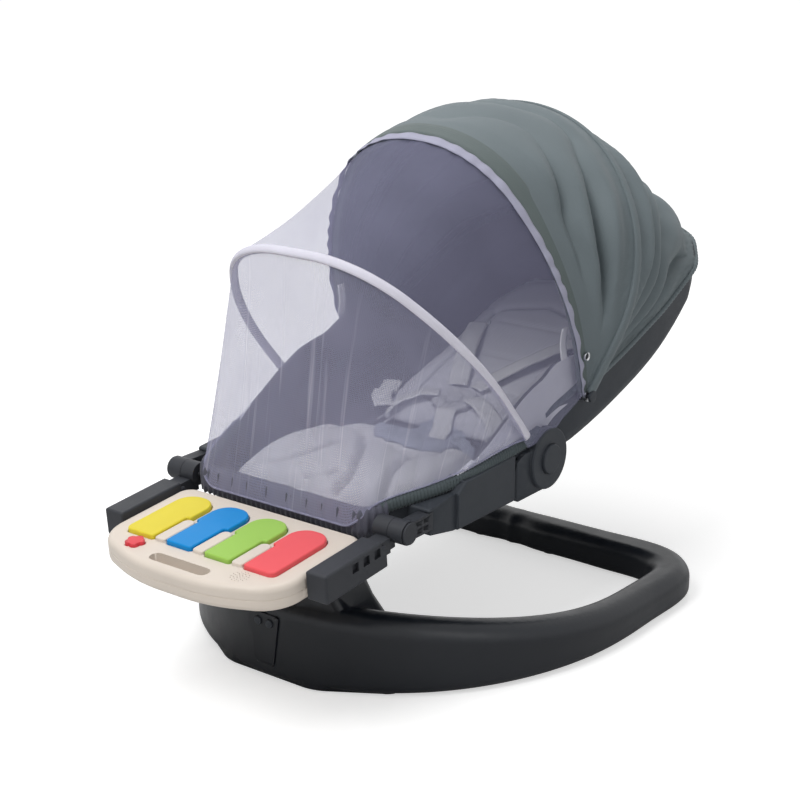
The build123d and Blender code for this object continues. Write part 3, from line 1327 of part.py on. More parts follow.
    for index, colour in enumerate(KEY_COLOURS):
        key = prism(key_outline(index, 0), ceiling - GAP, TRAY_TOP + KEY_PROUD)
        key = fillet(edges_at(key, Axis.Z, TRAY_TOP + KEY_PROUD), KEY_TOP_ROUND)
        flange_top = ceiling - GAP
        key += prism(key_outline(index, KEY_FLANGE), flange_top - KEY_FLANGE_HEIGHT, flange_top)
        nodes["key_" + colour] = tray * key
    button = flower(0, ceiling - GAP, TRAY_TOP + FLOWER_PROUD)
    button += flower(KEY_FLANGE, ceiling - GAP - KEY_FLANGE_HEIGHT, ceiling - GAP)
    nodes["tray_button"] = tray * button


make_base()
seat_screws = make_bracket()
make_seat(seat_screws)
make_back()
make_canopy()
make_net()
make_pads()
make_harness()
make_arms()
make_tray()

# The origin lies on the floor, at the middle of the whole outline
shapes = {}
for name, shape in nodes.items():
    shapes[name] = Compound(shape) if isinstance(shape, list) else shape
whole = Compound([solid for shape in shapes.values() for solid in shape.solids()])
outline = whole.bounding_box()
SHIFT_Y = -(outline.min.Y + outline.max.Y) / 2
for name, shape in shapes.items():
    export_step(Pos(0, SHIFT_Y, 0) * Compound(list(shape.solids())), f"parts/{name}.step")
print(f"{len(shapes)} nodes, Y shift {SHIFT_Y:.3f}")
print(f"size {outline.size.X:.1f} x {outline.size.Y:.1f} x {outline.size.Z:.1f}")
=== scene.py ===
# %% [markdown]
# # A bouncer seat, one piece at a time
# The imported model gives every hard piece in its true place. This lesson loads it, gives the hard pieces
# smooth shading and real finishes, and then makes each soft piece as cloth: the canopy, the insect net, the
# lining, the quilted insert and the harness. Shapes are drawn in millimetres, and then turned into the packed
# model's metres.

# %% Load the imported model
import json
import math

import bpy
import numpy as np
from mathutils import Matrix, Vector, noise
from mathutils.bvhtree import BVHTree


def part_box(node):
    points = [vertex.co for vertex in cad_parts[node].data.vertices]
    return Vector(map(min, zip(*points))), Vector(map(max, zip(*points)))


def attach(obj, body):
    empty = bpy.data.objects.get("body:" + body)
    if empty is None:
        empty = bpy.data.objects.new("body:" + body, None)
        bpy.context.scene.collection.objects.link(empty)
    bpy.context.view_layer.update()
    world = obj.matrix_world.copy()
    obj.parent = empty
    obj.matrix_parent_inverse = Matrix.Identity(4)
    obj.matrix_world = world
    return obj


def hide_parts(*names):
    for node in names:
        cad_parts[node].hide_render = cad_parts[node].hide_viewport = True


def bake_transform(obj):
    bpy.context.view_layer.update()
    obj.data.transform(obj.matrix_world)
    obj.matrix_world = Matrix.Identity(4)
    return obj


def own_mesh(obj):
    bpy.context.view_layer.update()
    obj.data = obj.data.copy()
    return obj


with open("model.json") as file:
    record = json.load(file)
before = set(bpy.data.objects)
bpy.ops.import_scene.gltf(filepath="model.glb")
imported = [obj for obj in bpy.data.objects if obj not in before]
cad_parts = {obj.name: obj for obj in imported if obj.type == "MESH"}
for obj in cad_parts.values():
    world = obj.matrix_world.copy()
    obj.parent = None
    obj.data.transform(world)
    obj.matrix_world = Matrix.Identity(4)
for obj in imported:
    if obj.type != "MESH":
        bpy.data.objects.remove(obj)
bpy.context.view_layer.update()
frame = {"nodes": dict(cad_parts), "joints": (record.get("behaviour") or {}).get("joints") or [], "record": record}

# %% [markdown]
# The maker's drawing of the seat is in millimetres, with its own zero along Y. The recline hinge is at 52 mm
# there, so the hinge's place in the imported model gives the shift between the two, and `at` turns any point
# of the drawing into the model's metres.

# %% From the drawing to the model
MM = 0.001
joints = {joint["name"]: joint for joint in frame["joints"]}
RECLINE_Y = 52
SHIFT = joints["recline"]["pos_m"][1] - RECLINE_Y * MM


def at(x, y, z):
    """A point of the drawing, in millimetres, as a point of the model."""
    return Vector((x * MM, y * MM + SHIFT, z * MM))


def moved(points):
    """Rows of drawing points as an array in the model's metres."""
    points = np.asarray(points, float) * MM
    points[..., 1] += SHIFT
    return points


print("drawing shift", round(SHIFT, 5))

# %% [markdown]
# ## Finishes
# Colours are given as screen colours, so they are sRGB; the shader wants linear values. Each finish is a
# Principled shader whose tone, roughness and bump come from noise and wave textures, because real plastic and
# cloth are never one flat colour.

# %% Small helpers for finishes
def srgb(red, green, blue):
    """A screen colour, 0 to 255, as the linear values that a shader wants."""
    linear = []
    for part in (red / 255, green / 255, blue / 255):
        linear.append(part / 12.92 if part <= 0.04045 else ((part + 0.055) / 1.055) ** 2.4)
    return (*linear, 1)


def add(tree, kind, inputs=None, **settings):
    """One node with its settings and its unlinked inputs."""
    made = tree.nodes.new(kind)
    for name, value in settings.items():
        setattr(made, name, value)
    for name, value in (inputs or {}).items():
        made.inputs[name].default_value = value
    return made


def start_finish(name):
    """A new material, its node tree and its shader."""
    finish = bpy.data.materials.new(name)
    finish.use_nodes = True
    return finish, finish.node_tree, finish.node_tree.nodes["Principled BSDF"]


def grain(tree, place, scale, detail=2.0, rough=0.5):
    """A noise texture on the given coordinates, and its value."""
    made = add(tree, "ShaderNodeTexNoise", {"Scale": scale, "Detail": detail, "Roughness": rough})
    tree.links.new(place, made.inputs["Vector"])
    return made.outputs["Fac"]


def spread(tree, value, low, high, start=0.25, stop=0.75):
    """A value between start and stop stretched to run from low to high."""
    made = add(tree, "ShaderNodeMapRange")
    for place, number in zip((1, 2, 3, 4), (start, stop, low, high)):
        made.inputs[place].default_value = number
    tree.links.new(value, made.inputs[0])
    return made.outputs[0]


# %% Helpers that mix tones, values and bumps
def tones(tree, value, dark, light):
    """Two colours mixed by a value."""
    made = add(tree, "ShaderNodeMix", data_type="RGBA")
    made.inputs[6].default_value = dark
    made.inputs[7].default_value = light
    tree.links.new(value, made.inputs[0])
    return made.outputs[2]


def laid_over(tree, under, colour, amount):
    """A colour laid over what is there already, by an amount."""
    made = add(tree, "ShaderNodeMix", data_type="RGBA")
    made.inputs[7].default_value = colour
    tree.links.new(under, made.inputs[6])
    tree.links.new(amount, made.inputs[0])
    return made.outputs[2]


def sums(tree, one, other, how="ADD"):
    """Two values put together."""
    made = add(tree, "ShaderNodeMath", operation=how)
    for place, part in enumerate((one, other)):
        if isinstance(part, (int, float)):
            made.inputs[place].default_value = part
        else:
            tree.links.new(part, made.inputs[place])
    return made.outputs[0]


def bumped(tree, shader, height, strength, distance):
    """A height turned into a bump on the shader."""
    made = add(tree, "ShaderNodeBump", {"Strength": strength, "Distance": distance})
    tree.links.new(height, made.inputs["Height"])
    tree.links.new(made.outputs["Normal"], shader.inputs["Normal"])


def shade(colour, share):
    """A colour made darker or lighter by a share."""
    return (*(min(1, part * share) for part in colour[:3]), 1)


# %% [markdown]
# Moulded plastic has a fine spark-eroded grain, a slight cloudiness, and shine that varies a little with
# handling. All three are noise on the object's own coordinates, so they stay with the piece as it moves.

# %% Moulded plastic, metal and rubber
finishes = {}
CLOUD_SCALE, GRAIN_SCALE, RUB_SCALE = 16, 1400, 55
GRAIN_DEPTH = 0.0002


def plastic(name, colour, roughness, relief, shine=0.25, metal=0.0):
    """A moulded or pressed finish. Relief is how strongly its fine grain shows."""
    finish, tree, shader = start_finish(name)
    place = add(tree, "ShaderNodeTexCoord").outputs["Object"]
    cloud = grain(tree, place, CLOUD_SCALE, 3)
    fine = grain(tree, place, GRAIN_SCALE, 2)
    rubbed = grain(tree, place, RUB_SCALE, 4, 0.6)
    tree.links.new(tones(tree, cloud, shade(colour, 0.94), shade(colour, 1.05)), shader.inputs["Base Color"])
    tree.links.new(spread(tree, rubbed, roughness - 0.05, roughness + 0.06), shader.inputs["Roughness"])
    bumped(tree, shader, fine, relief, GRAIN_DEPTH)
    shader.inputs["Metallic"].default_value = metal
    shader.inputs["Specular IOR Level"].default_value = shine
    finishes[name] = finish


plastic("base_black", srgb(20, 24, 31), 0.34, 0.25, shine=0.4)
plastic("rubber", srgb(28, 29, 31), 0.75, 0.5)
plastic("steel", srgb(178, 180, 184), 0.28, 0.1, metal=1.0)
plastic("inner_plastic", srgb(92, 95, 99), 0.5, 0.3)
plastic("copper", srgb(190, 112, 70), 0.32, 0.1, metal=1.0)
plastic("circuit_board", srgb(28, 92, 60), 0.4, 0.2)
plastic("magnet", srgb(70, 72, 76), 0.45, 0.3, metal=0.6)
plastic("bracket_metal", srgb(40, 43, 48), 0.42, 0.3)
plastic("shell_grey", srgb(57, 61, 67), 0.45, 0.4, shine=0.2)
plastic("arm_grey", srgb(56, 58, 63), 0.42, 0.35, shine=0.22)
plastic("buckle_plastic", srgb(202, 202, 208), 0.38, 0.25)
plastic("stud_metal", srgb(205, 207, 210), 0.24, 0.08, metal=1.0)
plastic("stud_socket", srgb(60, 62, 66), 0.4, 0.1, metal=0.6)
plastic("tray_cream", srgb(224, 213, 201), 0.36, 0.18, shine=0.25)
plastic("key_yellow", srgb(230, 212, 62), 0.34, 0.15, shine=0.18)
plastic("key_blue", srgb(16, 140, 214), 0.34, 0.15, shine=0.18)
plastic("key_green", srgb(160, 204, 92), 0.34, 0.15, shine=0.18)
plastic("key_red", srgb(243, 96, 102), 0.34, 0.15, shine=0.18)
plastic("button_red", srgb(226, 66, 76), 0.32, 0.15, shine=0.3)
print(len(finishes), "hard finishes")

# %% [markdown]
# Woven cloth is two crossed sets of threads. Two wave textures at right angles give their height; a slow
# noise gives the uneven dye, and sheen gives the soft light edge of cloth. The threads run along the UV map
# where a sheet has one, measured in metres, and along the object's own coordinates on the remeshed pads.

# %% Woven cloth
# A wave texture of scale 1 repeats after this length.
WAVE_PERIOD = 2 * math.pi / 20
DYE_SCALE, SLUB_SCALE = 22, 420
THREAD_DEPTH = 0.0006
CLOTH_SHEEN, CLOTH_SHINE = 0.12, 0.2


def threads(tree, place, pitch, direction):
    """The height of one set of threads, a pitch apart."""
    made = add(
        tree, "ShaderNodeTexWave", {"Scale": WAVE_PERIOD / pitch, "Distortion": 0.15, "Detail": 1.0},
        bands_direction=direction,
    )
    tree.links.new(place, made.inputs["Vector"])
    return made.outputs["Fac"]


def cloth(name, colour, pitch, relief, coordinates="UV", roughness=0.8, uneven=0.1, seam_shade=0.0):
    """A woven finish. Its last argument is how much painted shade darkens it along the pressed seam valleys."""
    finish, tree, shader = start_finish(name)
    place = add(tree, "ShaderNodeTexCoord").outputs[coordinates]
    weft = threads(tree, place, pitch, "X")
    warp = threads(tree, place, pitch, "Y")
    weave = sums(tree, weft, warp, "MULTIPLY")
    dye = grain(tree, place, DYE_SCALE, 4, 0.6)
    slub = grain(tree, place, SLUB_SCALE, 2)
    stain = sums(tree, spread(tree, dye, 0, 0.6), spread(tree, slub, 0, 0.25))
    tone = sums(tree, stain, sums(tree, weave, 0.3, "MULTIPLY"))
    dye_and_seam_shade = tones(tree, tone, shade(colour, 1 - uneven), shade(colour, 1 + uneven))
    # Painted shade: the colour is darkened along the seam valleys, where shade falls in the real cushion.
    if seam_shade:
        seam_shade_mask = add(tree, "ShaderNodeAttribute", attribute_name="seam_shade").outputs["Fac"]
        dye_and_seam_shade = laid_over(tree, dye_and_seam_shade, shade(colour, 1 - seam_shade), seam_shade_mask)
    tree.links.new(dye_and_seam_shade, shader.inputs["Base Color"])
    tree.links.new(spread(tree, dye, roughness - 0.06, roughness + 0.06), shader.inputs["Roughness"])
    bumped(tree, shader, sums(tree, weave, sums(tree, slub, 0.5, "MULTIPLY")), relief, THREAD_DEPTH)
    shader.inputs["Sheen Weight"].default_value = CLOTH_SHEEN
    shader.inputs["Sheen Roughness"].default_value = 0.4
    shader.inputs["Specular IOR Level"].default_value = CLOTH_SHINE
    finishes[name] = finish


cloth("canopy_cloth", srgb(110, 120, 124), 0.0016, 0.35, roughness=0.6, uneven=0.07)
cloth("canopy_band", srgb(97, 107, 107), 0.0016, 0.35, roughness=0.6, uneven=0.07)
cloth("pad_mesh", srgb(86, 86, 93), 0.0044, 0.14, uneven=0.1)
cloth("apron_dark", srgb(90, 91, 103), 0.0018, 0.5, uneven=0.12)
# The two cushions get painted shade along their seam valleys.
cloth("insert_grey", srgb(222, 222, 224), 0.0022, 0.45, coordinates="Object", uneven=0.05, seam_shade=0.5)
cloth("back_lavender", srgb(222, 222, 230), 0.0022, 0.45, coordinates="Object", uneven=0.05, seam_shade=0.5)
cloth("crotch_blue", srgb(172, 178, 192), 0.0022, 0.45, coordinates="Object", uneven=0.05)
cloth("webbing", srgb(246, 246, 250), 0.0018, 0.8, roughness=0.5, uneven=0.08)
cloth("hem_rib", srgb(84, 93, 96), 0.0016, 0.5, uneven=0.12)
cloth("tape_white", srgb(226, 224, 237), 0.0014, 0.5, uneven=0.05)
cloth("tape_lavender", srgb(172, 172, 192), 0.0014, 0.5, uneven=0.08)
print(len(finishes), "finishes with the cloths")

# %% [markdown]
# The net is so fine that no thread shows at this distance: it reads as a lavender veil, which darkens what is
# bright behind it and brightens what is dark. Where it is pleated, a few narrow folds lie edge on, so the cloth
# is denser there, and their near-white colour is partly painted highlight of folds that catch the light. They
# come from a noise drawn out along the fall of the net on its UV map, so they stay on the cloth from every side.

# %% Sheer net
NET_PITCH = 0.0021
NET_DEPTH = 0.0004
THREAD_COVER, FOLD_COVER = 0.04, 0.46
FOLD_SCALE, FOLD_DRAWN_OUT = 84, 26
FOLD_START, FOLD_FULL = 0.58, 0.86
FOLD_FADED = 0.16


def net(name, veil_colour, fold_highlight_colour, thin, dense, folds, reach):
    """A veil with a share of denser folds, partly painted as highlights, which fade out over a reach from its
    front edge.
    """
    finish, tree, shader = start_finish(name)
    place = add(tree, "ShaderNodeTexCoord").outputs["UV"]
    broad = grain(tree, place, 9, 2)
    long = add(tree, "ShaderNodeMapping", {"Scale": (FOLD_SCALE, FOLD_SCALE / FOLD_DRAWN_OUT, 1)})
    tree.links.new(place, long.inputs["Vector"])
    drawn = grain(tree, long.outputs["Vector"], 1, 3, 0.6)
    streak = spread(tree, drawn, 0, 1, FOLD_START, FOLD_FULL)
    split = add(tree, "ShaderNodeSeparateXYZ")
    tree.links.new(place, split.inputs[0])
    near_edge = spread(tree, split.outputs["Y"], 1, FOLD_FADED, 0, reach)
    fold_cover_and_highlight = sums(tree, sums(tree, streak, near_edge, "MULTIPLY"), folds, "MULTIPLY")
    weft = threads(tree, place, NET_PITCH, "X")
    warp = threads(tree, place, NET_PITCH, "Y")
    mesh = sums(tree, weft, warp, "MAXIMUM")
    veil = sums(tree, spread(tree, broad, thin, dense, 0.3, 0.7), sums(tree, mesh, THREAD_COVER, "MULTIPLY"))
    tree.links.new(sums(tree, veil, sums(tree, fold_cover_and_highlight, FOLD_COVER, "MULTIPLY")), shader.inputs["Alpha"])
    # The folds' near-white colour is partly the denser white cloth and partly painted highlight.
    tree.links.new(tones(tree, fold_cover_and_highlight, veil_colour, fold_highlight_colour), shader.inputs["Base Color"])
    bumped(tree, shader, mesh, 0.3, NET_DEPTH)
    shader.inputs["Roughness"].default_value = 0.7
    shader.inputs["Specular IOR Level"].default_value = 0.1
    finish.surface_render_method = "BLENDED"
    finishes[name] = finish


HOOD_VEIL, SKIRT_VEIL, DENSE_FOLD_HIGHLIGHT = srgb(163, 163, 194), srgb(182, 182, 211), srgb(240, 239, 247)
net("net_white", HOOD_VEIL, DENSE_FOLD_HIGHLIGHT, 0.29, 0.35, 0.0, 0.2)
net("net_pleated", SKIRT_VEIL, DENSE_FOLD_HIGHLIGHT, 0.35, 0.42, 1.0, 0.28)
print(len(finishes), "finishes in all")

# %% [markdown]
# ## The hard pieces
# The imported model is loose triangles, which would shade flat. Each hard piece is copied, its doubled points
# are merged, and it is shaded smooth except over its real edges. Weighted normals keep the flat faces flat
# beside their rounded edges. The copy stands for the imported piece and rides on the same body.

# %% Which pieces are hard
STUD_NODE = "press_studs"
SOFT_NODES = (
    "seat_lining", "back_lining", "seat_insert", "back_insert", "harness_straps",
    "canopy_rear_panel", "canopy_front_panel", "net_hood", "net_skirt", STUD_NODE,
)
slots = {part["node"]: part["material_slot"] for part in frame["record"]["subparts"]}
bodies = {}
for body, members in frame["record"]["behaviour"]["bodies"].items():
    for member in members:
        bodies[member] = body
print(len(set(slots) - set(SOFT_NODES)), "hard pieces,", len(SOFT_NODES), "made anew")


# %% Helpers for one piece
def pick(piece):
    """Makes one piece the only selected and active one."""
    bpy.ops.object.select_all(action="DESELECT")
    piece.select_set(True)
    bpy.context.view_layer.objects.active = piece


def apply_all(piece):
    """Applies every modifier of a piece, in order."""
    pick(piece)
    for modifier in list(piece.modifiers):
        bpy.ops.object.modifier_apply(modifier=modifier.name)


def bevelled(piece, width, limit=30):
    """Rounds the edges of a piece that turn by more than a limit in degrees, by a width in millimetres."""
    rounded = piece.modifiers.new("rounded", "BEVEL")
    rounded.width = width * MM
    rounded.segments = 3
    rounded.angle_limit = math.radians(limit)
    apply_all(piece)


def face_outwards():
    """Turns every face of the piece in edit mode outwards, and leaves edit mode."""
    bpy.ops.mesh.select_all(action="SELECT")
    bpy.ops.mesh.normals_make_consistent(inside=False)
    bpy.ops.object.mode_set(mode="OBJECT")


def tree_of(piece):
    """A search tree of a piece's faces, for dropping points onto it."""
    return BVHTree.FromObject(piece, bpy.context.evaluated_depsgraph_get())


def dress(piece, finish):
    """Gives a piece one finish."""
    piece.data.materials.clear()
    piece.data.materials.append(finishes[finish])


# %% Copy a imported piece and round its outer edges
MERGE_GAP = 0.00002
ON_BOX, SHORTEST_EDGE, REAR_END = 0.0003, 0.012, 0.001


def copy_node(node, name):
    """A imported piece's mesh in a new object, with its doubled points merged."""
    piece = bpy.data.objects.new(name, frame["nodes"][node].data.copy())
    bpy.context.collection.objects.link(piece)
    pick(piece)
    bpy.ops.object.mode_set(mode="EDIT")
    bpy.ops.mesh.select_all(action="SELECT")
    bpy.ops.mesh.remove_doubles(threshold=MERGE_GAP)
    bpy.ops.object.mode_set(mode="OBJECT")
    return piece


def round_outer_edges(piece, width):
    """Rounds the straight outer edges of a boxy piece, except at its open rear end."""
    pick(piece)
    bpy.ops.object.mode_set(mode="EDIT")
    bpy.ops.mesh.select_mode(type="EDGE")
    bpy.ops.mesh.select_all(action="SELECT")
    bpy.ops.mesh.dissolve_limited(angle_limit=math.radians(1.5))
    bpy.ops.mesh.select_all(action="DESELECT")
    bpy.ops.object.mode_set(mode="OBJECT")
    points = np.array([vertex.co for vertex in piece.data.vertices])
    low, high = points.min(axis=0), points.max(axis=0)
    for edge in piece.data.edges:
        ends = points[list(edge.vertices)]
        at_low = (np.abs(ends - low) < ON_BOX).all(axis=0)
        at_high = (np.abs(ends - high) < ON_BOX).all(axis=0)
        on_corner = (at_low | at_high).sum() == 2
        long_enough = np.linalg.norm(ends[1] - ends[0]) > SHORTEST_EDGE
        not_rear = ends[:, 1].min() < high[1] - REAR_END
        edge.select = bool(on_corner and long_enough and not_rear)
    bpy.ops.object.mode_set(mode="EDIT")
    bpy.ops.mesh.bevel(offset=width * MM, segments=3, affect="EDGES")
    bpy.ops.object.mode_set(mode="OBJECT")


# %% Smooth copies of the hard pieces
SMOOTH_UP_TO = math.radians(32)
ROUNDED_NODES = ("tray_sleeve_left", "tray_sleeve_right")
SLEEVE_ROUND = 2.2
for node in sorted(set(slots) - set(SOFT_NODES)):
    piece = copy_node(node, node + "_smooth")
    if node in ROUNDED_NODES:
        round_outer_edges(piece, SLEEVE_ROUND)
    bpy.ops.object.shade_smooth_by_angle(angle=SMOOTH_UP_TO)
    weighted = piece.modifiers.new("flat_faces", "WEIGHTED_NORMAL")
    weighted.keep_sharp = True
    apply_all(piece)
    dress(piece, slots[node])
    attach(piece, bodies[node])
    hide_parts(node)
print("smooth copies", len(set(slots) - set(SOFT_NODES)))

# %% [markdown]
# ## How the cloth sheets are laid
# A sheet of cloth is a grid with its points laid on the lines the cloth follows: along a hoop, along a rim.
# Folds then move each point along the cloth's own normal. The UV map is in metres of cloth, so the weave has
# one size everywhere, and a Solidify modifier gives the sheet its thickness.

# %% Lines with rounded corners
ROUND_STEPS = 24


def even(points, count):
    """A line of points divided again into evenly spaced ones."""
    points = np.asarray(points, float)
    steps = np.linalg.norm(np.diff(points, axis=0), axis=1)
    along = np.concatenate([[0], np.cumsum(steps)])
    wanted = np.linspace(0, along[-1], count)
    return np.stack([np.interp(wanted, along, points[:, k]) for k in range(points.shape[1])], axis=1)


def corner_runs(corners):
    """How far each rounded corner reaches along the line, cut back where two neighbours would overlap."""
    spots = [Vector(corner[:2]) for corner in corners]
    runs = [0.0]
    for before, spot, after, corner in zip(spots, spots[1:], spots[2:], corners[1:]):
        runs.append(corner[2] / math.tan((before - spot).angle(after - spot) / 2))
    runs.append(0.0)
    for place in range(len(spots) - 1):
        room = (spots[place + 1] - spots[place]).length * 0.99
        wanted = runs[place] + runs[place + 1]
        if wanted > room:
            runs[place] *= room / wanted
            runs[place + 1] *= room / wanted
    return runs


def rounded_line(corners, count):
    """Evenly spaced points on a flat line through corners of (u, v, radius)."""
    points = [Vector(corners[0][:2])]
    runs = corner_runs(corners)
    for before, (u, v, _), after, run in zip(corners, corners[1:], corners[2:], runs[1:]):
        corner = Vector((u, v))
        back = (Vector(before[:2]) - corner).normalized()
        ahead = (Vector(after[:2]) - corner).normalized()
        half = back.angle(ahead) / 2
        middle = corner + (back + ahead).normalized() * run / math.cos(half)
        spoke = corner + back * run - middle
        sense = 1 if back.x * ahead.y - back.y * ahead.x < 0 else -1
        for step in range(ROUND_STEPS + 1):
            turn = Matrix.Rotation(sense * (math.pi - 2 * half) * step / ROUND_STEPS, 2)
            points.append(middle + turn @ spoke)
    points.append(Vector(corners[-1][:2]))
    return even([tuple(point) for point in points], count)


# %% Sheets from rows of points
def normals(grid):
    """The direction that the cloth faces at each point of a grid."""
    facing = np.cross(np.gradient(grid, axis=1), np.gradient(grid, axis=0))
    return facing / np.maximum(np.linalg.norm(facing, axis=2, keepdims=True), 1e-12)


def lay_sheet(name, grid, finish, thickness=0.0, sides=-1):
    """A grid primitive with its points laid on rows of points, and its UV map in metres."""
    rows, columns = grid.shape[:2]
    bpy.ops.object.select_all(action="DESELECT")
    bpy.ops.mesh.primitive_grid_add(x_subdivisions=columns - 1, y_subdivisions=rows - 1, size=2)
    sheet = bpy.context.object
    sheet.name = name
    mesh = sheet.data
    flat = np.empty(len(mesh.vertices) * 3)
    mesh.vertices.foreach_get("co", flat)
    flat = (flat.reshape(-1, 3) + 1) / 2
    column = np.rint(flat[:, 0] * (columns - 1)).astype(int)
    row = np.rint(flat[:, 1] * (rows - 1)).astype(int)
    mesh.vertices.foreach_set("co", grid[row, column].ravel())
    wide, long = flat_size(grid)
    corner = np.empty(len(mesh.loops), int)
    mesh.loops.foreach_get("vertex_index", corner)
    uv = np.stack([flat[corner, 0] * wide, flat[corner, 1] * long], axis=1)
    mesh.uv_layers.active.data.foreach_set("uv", uv.ravel())
    mesh.update()
    if thickness:
        solid = sheet.modifiers.new("thickness", "SOLIDIFY")
        solid.thickness = thickness
        solid.offset = sides
        apply_all(sheet)
    pick(sheet)
    bpy.ops.object.shade_smooth()
    dress(sheet, finish)
    print(name, rows, "x", columns, "points,", round(wide, 3), "x", round(long, 3), "m")
    return sheet


def flat_size(grid):
    """The width and length of a grid of points along its longest row and column, in metres."""
    wide = np.linalg.norm(np.diff(grid, axis=1), axis=2).sum(axis=1).max()
    long = np.linalg.norm(np.diff(grid, axis=0), axis=2).sum(axis=0).max()
    return float(wide), float(long)


def rough_field(grid, scale, seed):
    """A slow noise over a grid, about -1 to 1, that is the same at every run."""
    offset = Vector((seed, 0, 0))
    return np.array([[noise.noise(Vector(point) * scale + offset) for point in row] for row in grid])


# %% [markdown]
# ## The canopy
# The canopy cloth hangs on two wire hoops that turn on one pivot at each side. Between the hoops it is a
# doubly curved sheet, drawn in a little where nothing holds it. Soft folds fan up from the pivots, and behind
# the rear hoop the cloth dips and then falls in deep gathers to the head end. A cloth simulation could drape
# it, but a sheet that is laid on its hoops and folded in code stays on the wire.

# %% The arches of the hoops
PIVOT_Y, PIVOT_Z = 125, 268
FRONT_ANGLE, REAR_ANGLE, HEAD_ANGLE = 106, 69, 25
# An arch is half its width at the foot, and the place (out, up) and rounding of its shoulder and its crown.
FRONT_ARCH = (170.5, 178, 142, 330, 81, 306, 136)
REAR_ARCH = (176, 223, 162, 200, 101, 325, 200)
HEAD_ARCH = (176, 183, 250, 100, 95, 352, 110)
CLOTH_OUT = 4.8


def arch_line(arch, foot, grow, y, z, angle, count):
    """Points along an arch from the left foot to the right one, in drawing millimetres."""
    foot_half, shoulder_u, shoulder_v, shoulder_round, crown_u, crown_v, crown_round = arch
    lean = (shoulder_u - foot_half) / shoulder_v
    right = (
        (foot_half + lean * foot + grow, foot, 0),
        (shoulder_u + grow, shoulder_v + grow * 0.4, shoulder_round + grow),
        (crown_u + grow * 0.4, crown_v + grow, crown_round + grow),
    )
    left = tuple((-u, v, radius) for u, v, radius in right)
    line = rounded_line(left + tuple(reversed(right)), count)
    cosine, sine = math.cos(math.radians(angle)), math.sin(math.radians(angle))
    return np.stack([line[:, 0], y + line[:, 1] * cosine, z + line[:, 1] * sine], axis=1)


def between(one, other, share, sags):
    """An arch part way between two others, drawn in most at the middle, at its shoulder and its crown."""
    arch = [a + (b - a) * share for a, b in zip(one, other)]
    for place, sag in zip((1, 5), sags):
        arch[place] -= sag * 4 * share * (1 - share)
    return arch


def canopy_rows(one, angle_one, other, angle_other, rows, columns, sags, foot):
    """Rows of points from one arch over to another, each row an arch part way between them."""
    lines = []
    for share in np.linspace(0, 1, rows):
        angle = angle_one + (angle_other - angle_one) * share
        arch = between(one, other, share, sags)
        lines.append(arch_line(arch, foot, CLOTH_OUT, PIVOT_Y, PIVOT_Z, angle, columns))
    return np.array(lines)


# %% Helpers for folds
CROWN_CALM = 0.72


def smooth_step(value):
    """A value held between 0 and 1, with soft ends."""
    value = np.clip(value, 0, 1)
    return value * value * (3 - 2 * value)


def lengths_from_left(grid):
    """How far each point lies along its row."""
    steps = np.linalg.norm(np.diff(grid, axis=1), axis=2)
    return np.concatenate([np.zeros((grid.shape[0], 1)), np.cumsum(steps, axis=1)], axis=1)


def lengths_from_front(grid):
    """How far each point lies along its column."""
    steps = np.linalg.norm(np.diff(grid, axis=0), axis=2)
    return np.concatenate([np.zeros((1, grid.shape[1])), np.cumsum(steps, axis=0)], axis=0)


def from_feet(grid):
    """How far each point is from the nearer foot of its arch."""
    across = lengths_from_left(grid)
    return np.minimum(across, across[:, -1:] - across)


def fold_height(side, depth, rise, calm):
    """Depth of folds by distance from the feet. Rise and calm are each a start and a length."""
    calmer = 1 - CROWN_CALM * smooth_step((side - calm[0]) / calm[1])
    return depth * smooth_step((side - rise[0]) / rise[1]) * calmer


def crease(turn):
    """A wave with round crests and narrow valleys, from -1 to 1."""
    return 2 * np.abs(np.sin(turn / 2)) ** 0.75 - 1


def fan_folds(grid, count, wandering, seed):
    """Folds that run up from the pivots, a number of them between the two hoops, from -1 to 1."""
    share = np.linspace(0, 1, grid.shape[0])[:, None]
    slow = rough_field(grid, 0.007, seed)
    quick = rough_field(grid, 0.02, seed + 4)
    folds = crease(2 * math.pi * (count * share + wandering * slow + 0.14 * quick))
    return folds * (0.75 + 0.8 * rough_field(grid, 0.008, seed + 9))


# %% Front panel with folds that fan from the pivots
FRONT_COLUMNS, FRONT_ROWS = 221, 81
CLOTH_FOOT = 5
FRONT_SAG = (7, 7)
FACING_WIDTH = 21
CANOPY_THICK, STRIP_THICK = 0.0011, 0.0008
front_grid = canopy_rows(
    FRONT_ARCH, FRONT_ANGLE, REAR_ARCH, REAR_ANGLE, FRONT_ROWS, FRONT_COLUMNS, FRONT_SAG, CLOTH_FOOT
)
front_side = from_feet(front_grid)
front_back = lengths_from_front(front_grid)
front_ahead = front_back[-1:] - front_back
front_height = fold_height(front_side, 14, (10, 190), (215, 150))
front_hold = smooth_step((front_back - FACING_WIDTH) / 30) * smooth_step((front_ahead - 6) / 34)
front_share = np.linspace(0, 1, FRONT_ROWS)[:, None]
front_folds = fan_folds(front_grid, 2.7, 1.0, 3.1) * front_height * front_hold * (0.45 + 0.75 * front_share)
front_folds += 3.6 * rough_field(front_grid, 0.013, 8.0) * front_hold
gather = crease(lengths_from_left(front_grid) * 2 * math.pi / 17 + 5 * rough_field(front_grid, 0.02, 1.7))
gather_depth = (0.4 + rough_field(front_grid, 0.012, 7.7)).clip(0)
front_folds += 2.6 * gather * gather_depth * np.exp(-front_ahead / 17) * smooth_step((front_ahead - 5) / 8)
front_cloth = front_grid + normals(front_grid) * front_folds[..., None]
canopy_front = lay_sheet("canopy_front", moved(front_cloth), "canopy_cloth", CANOPY_THICK)
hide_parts("canopy_front_panel")

# %% [markdown]
# The rear panel drops behind the rear hoop and is slack there, so it lies in deep folds that fan from the
# pivots. An elastic hem gathers it round the rim of the head end. Its last row is the rim itself, so the
# cloth meets the shell all the way round.

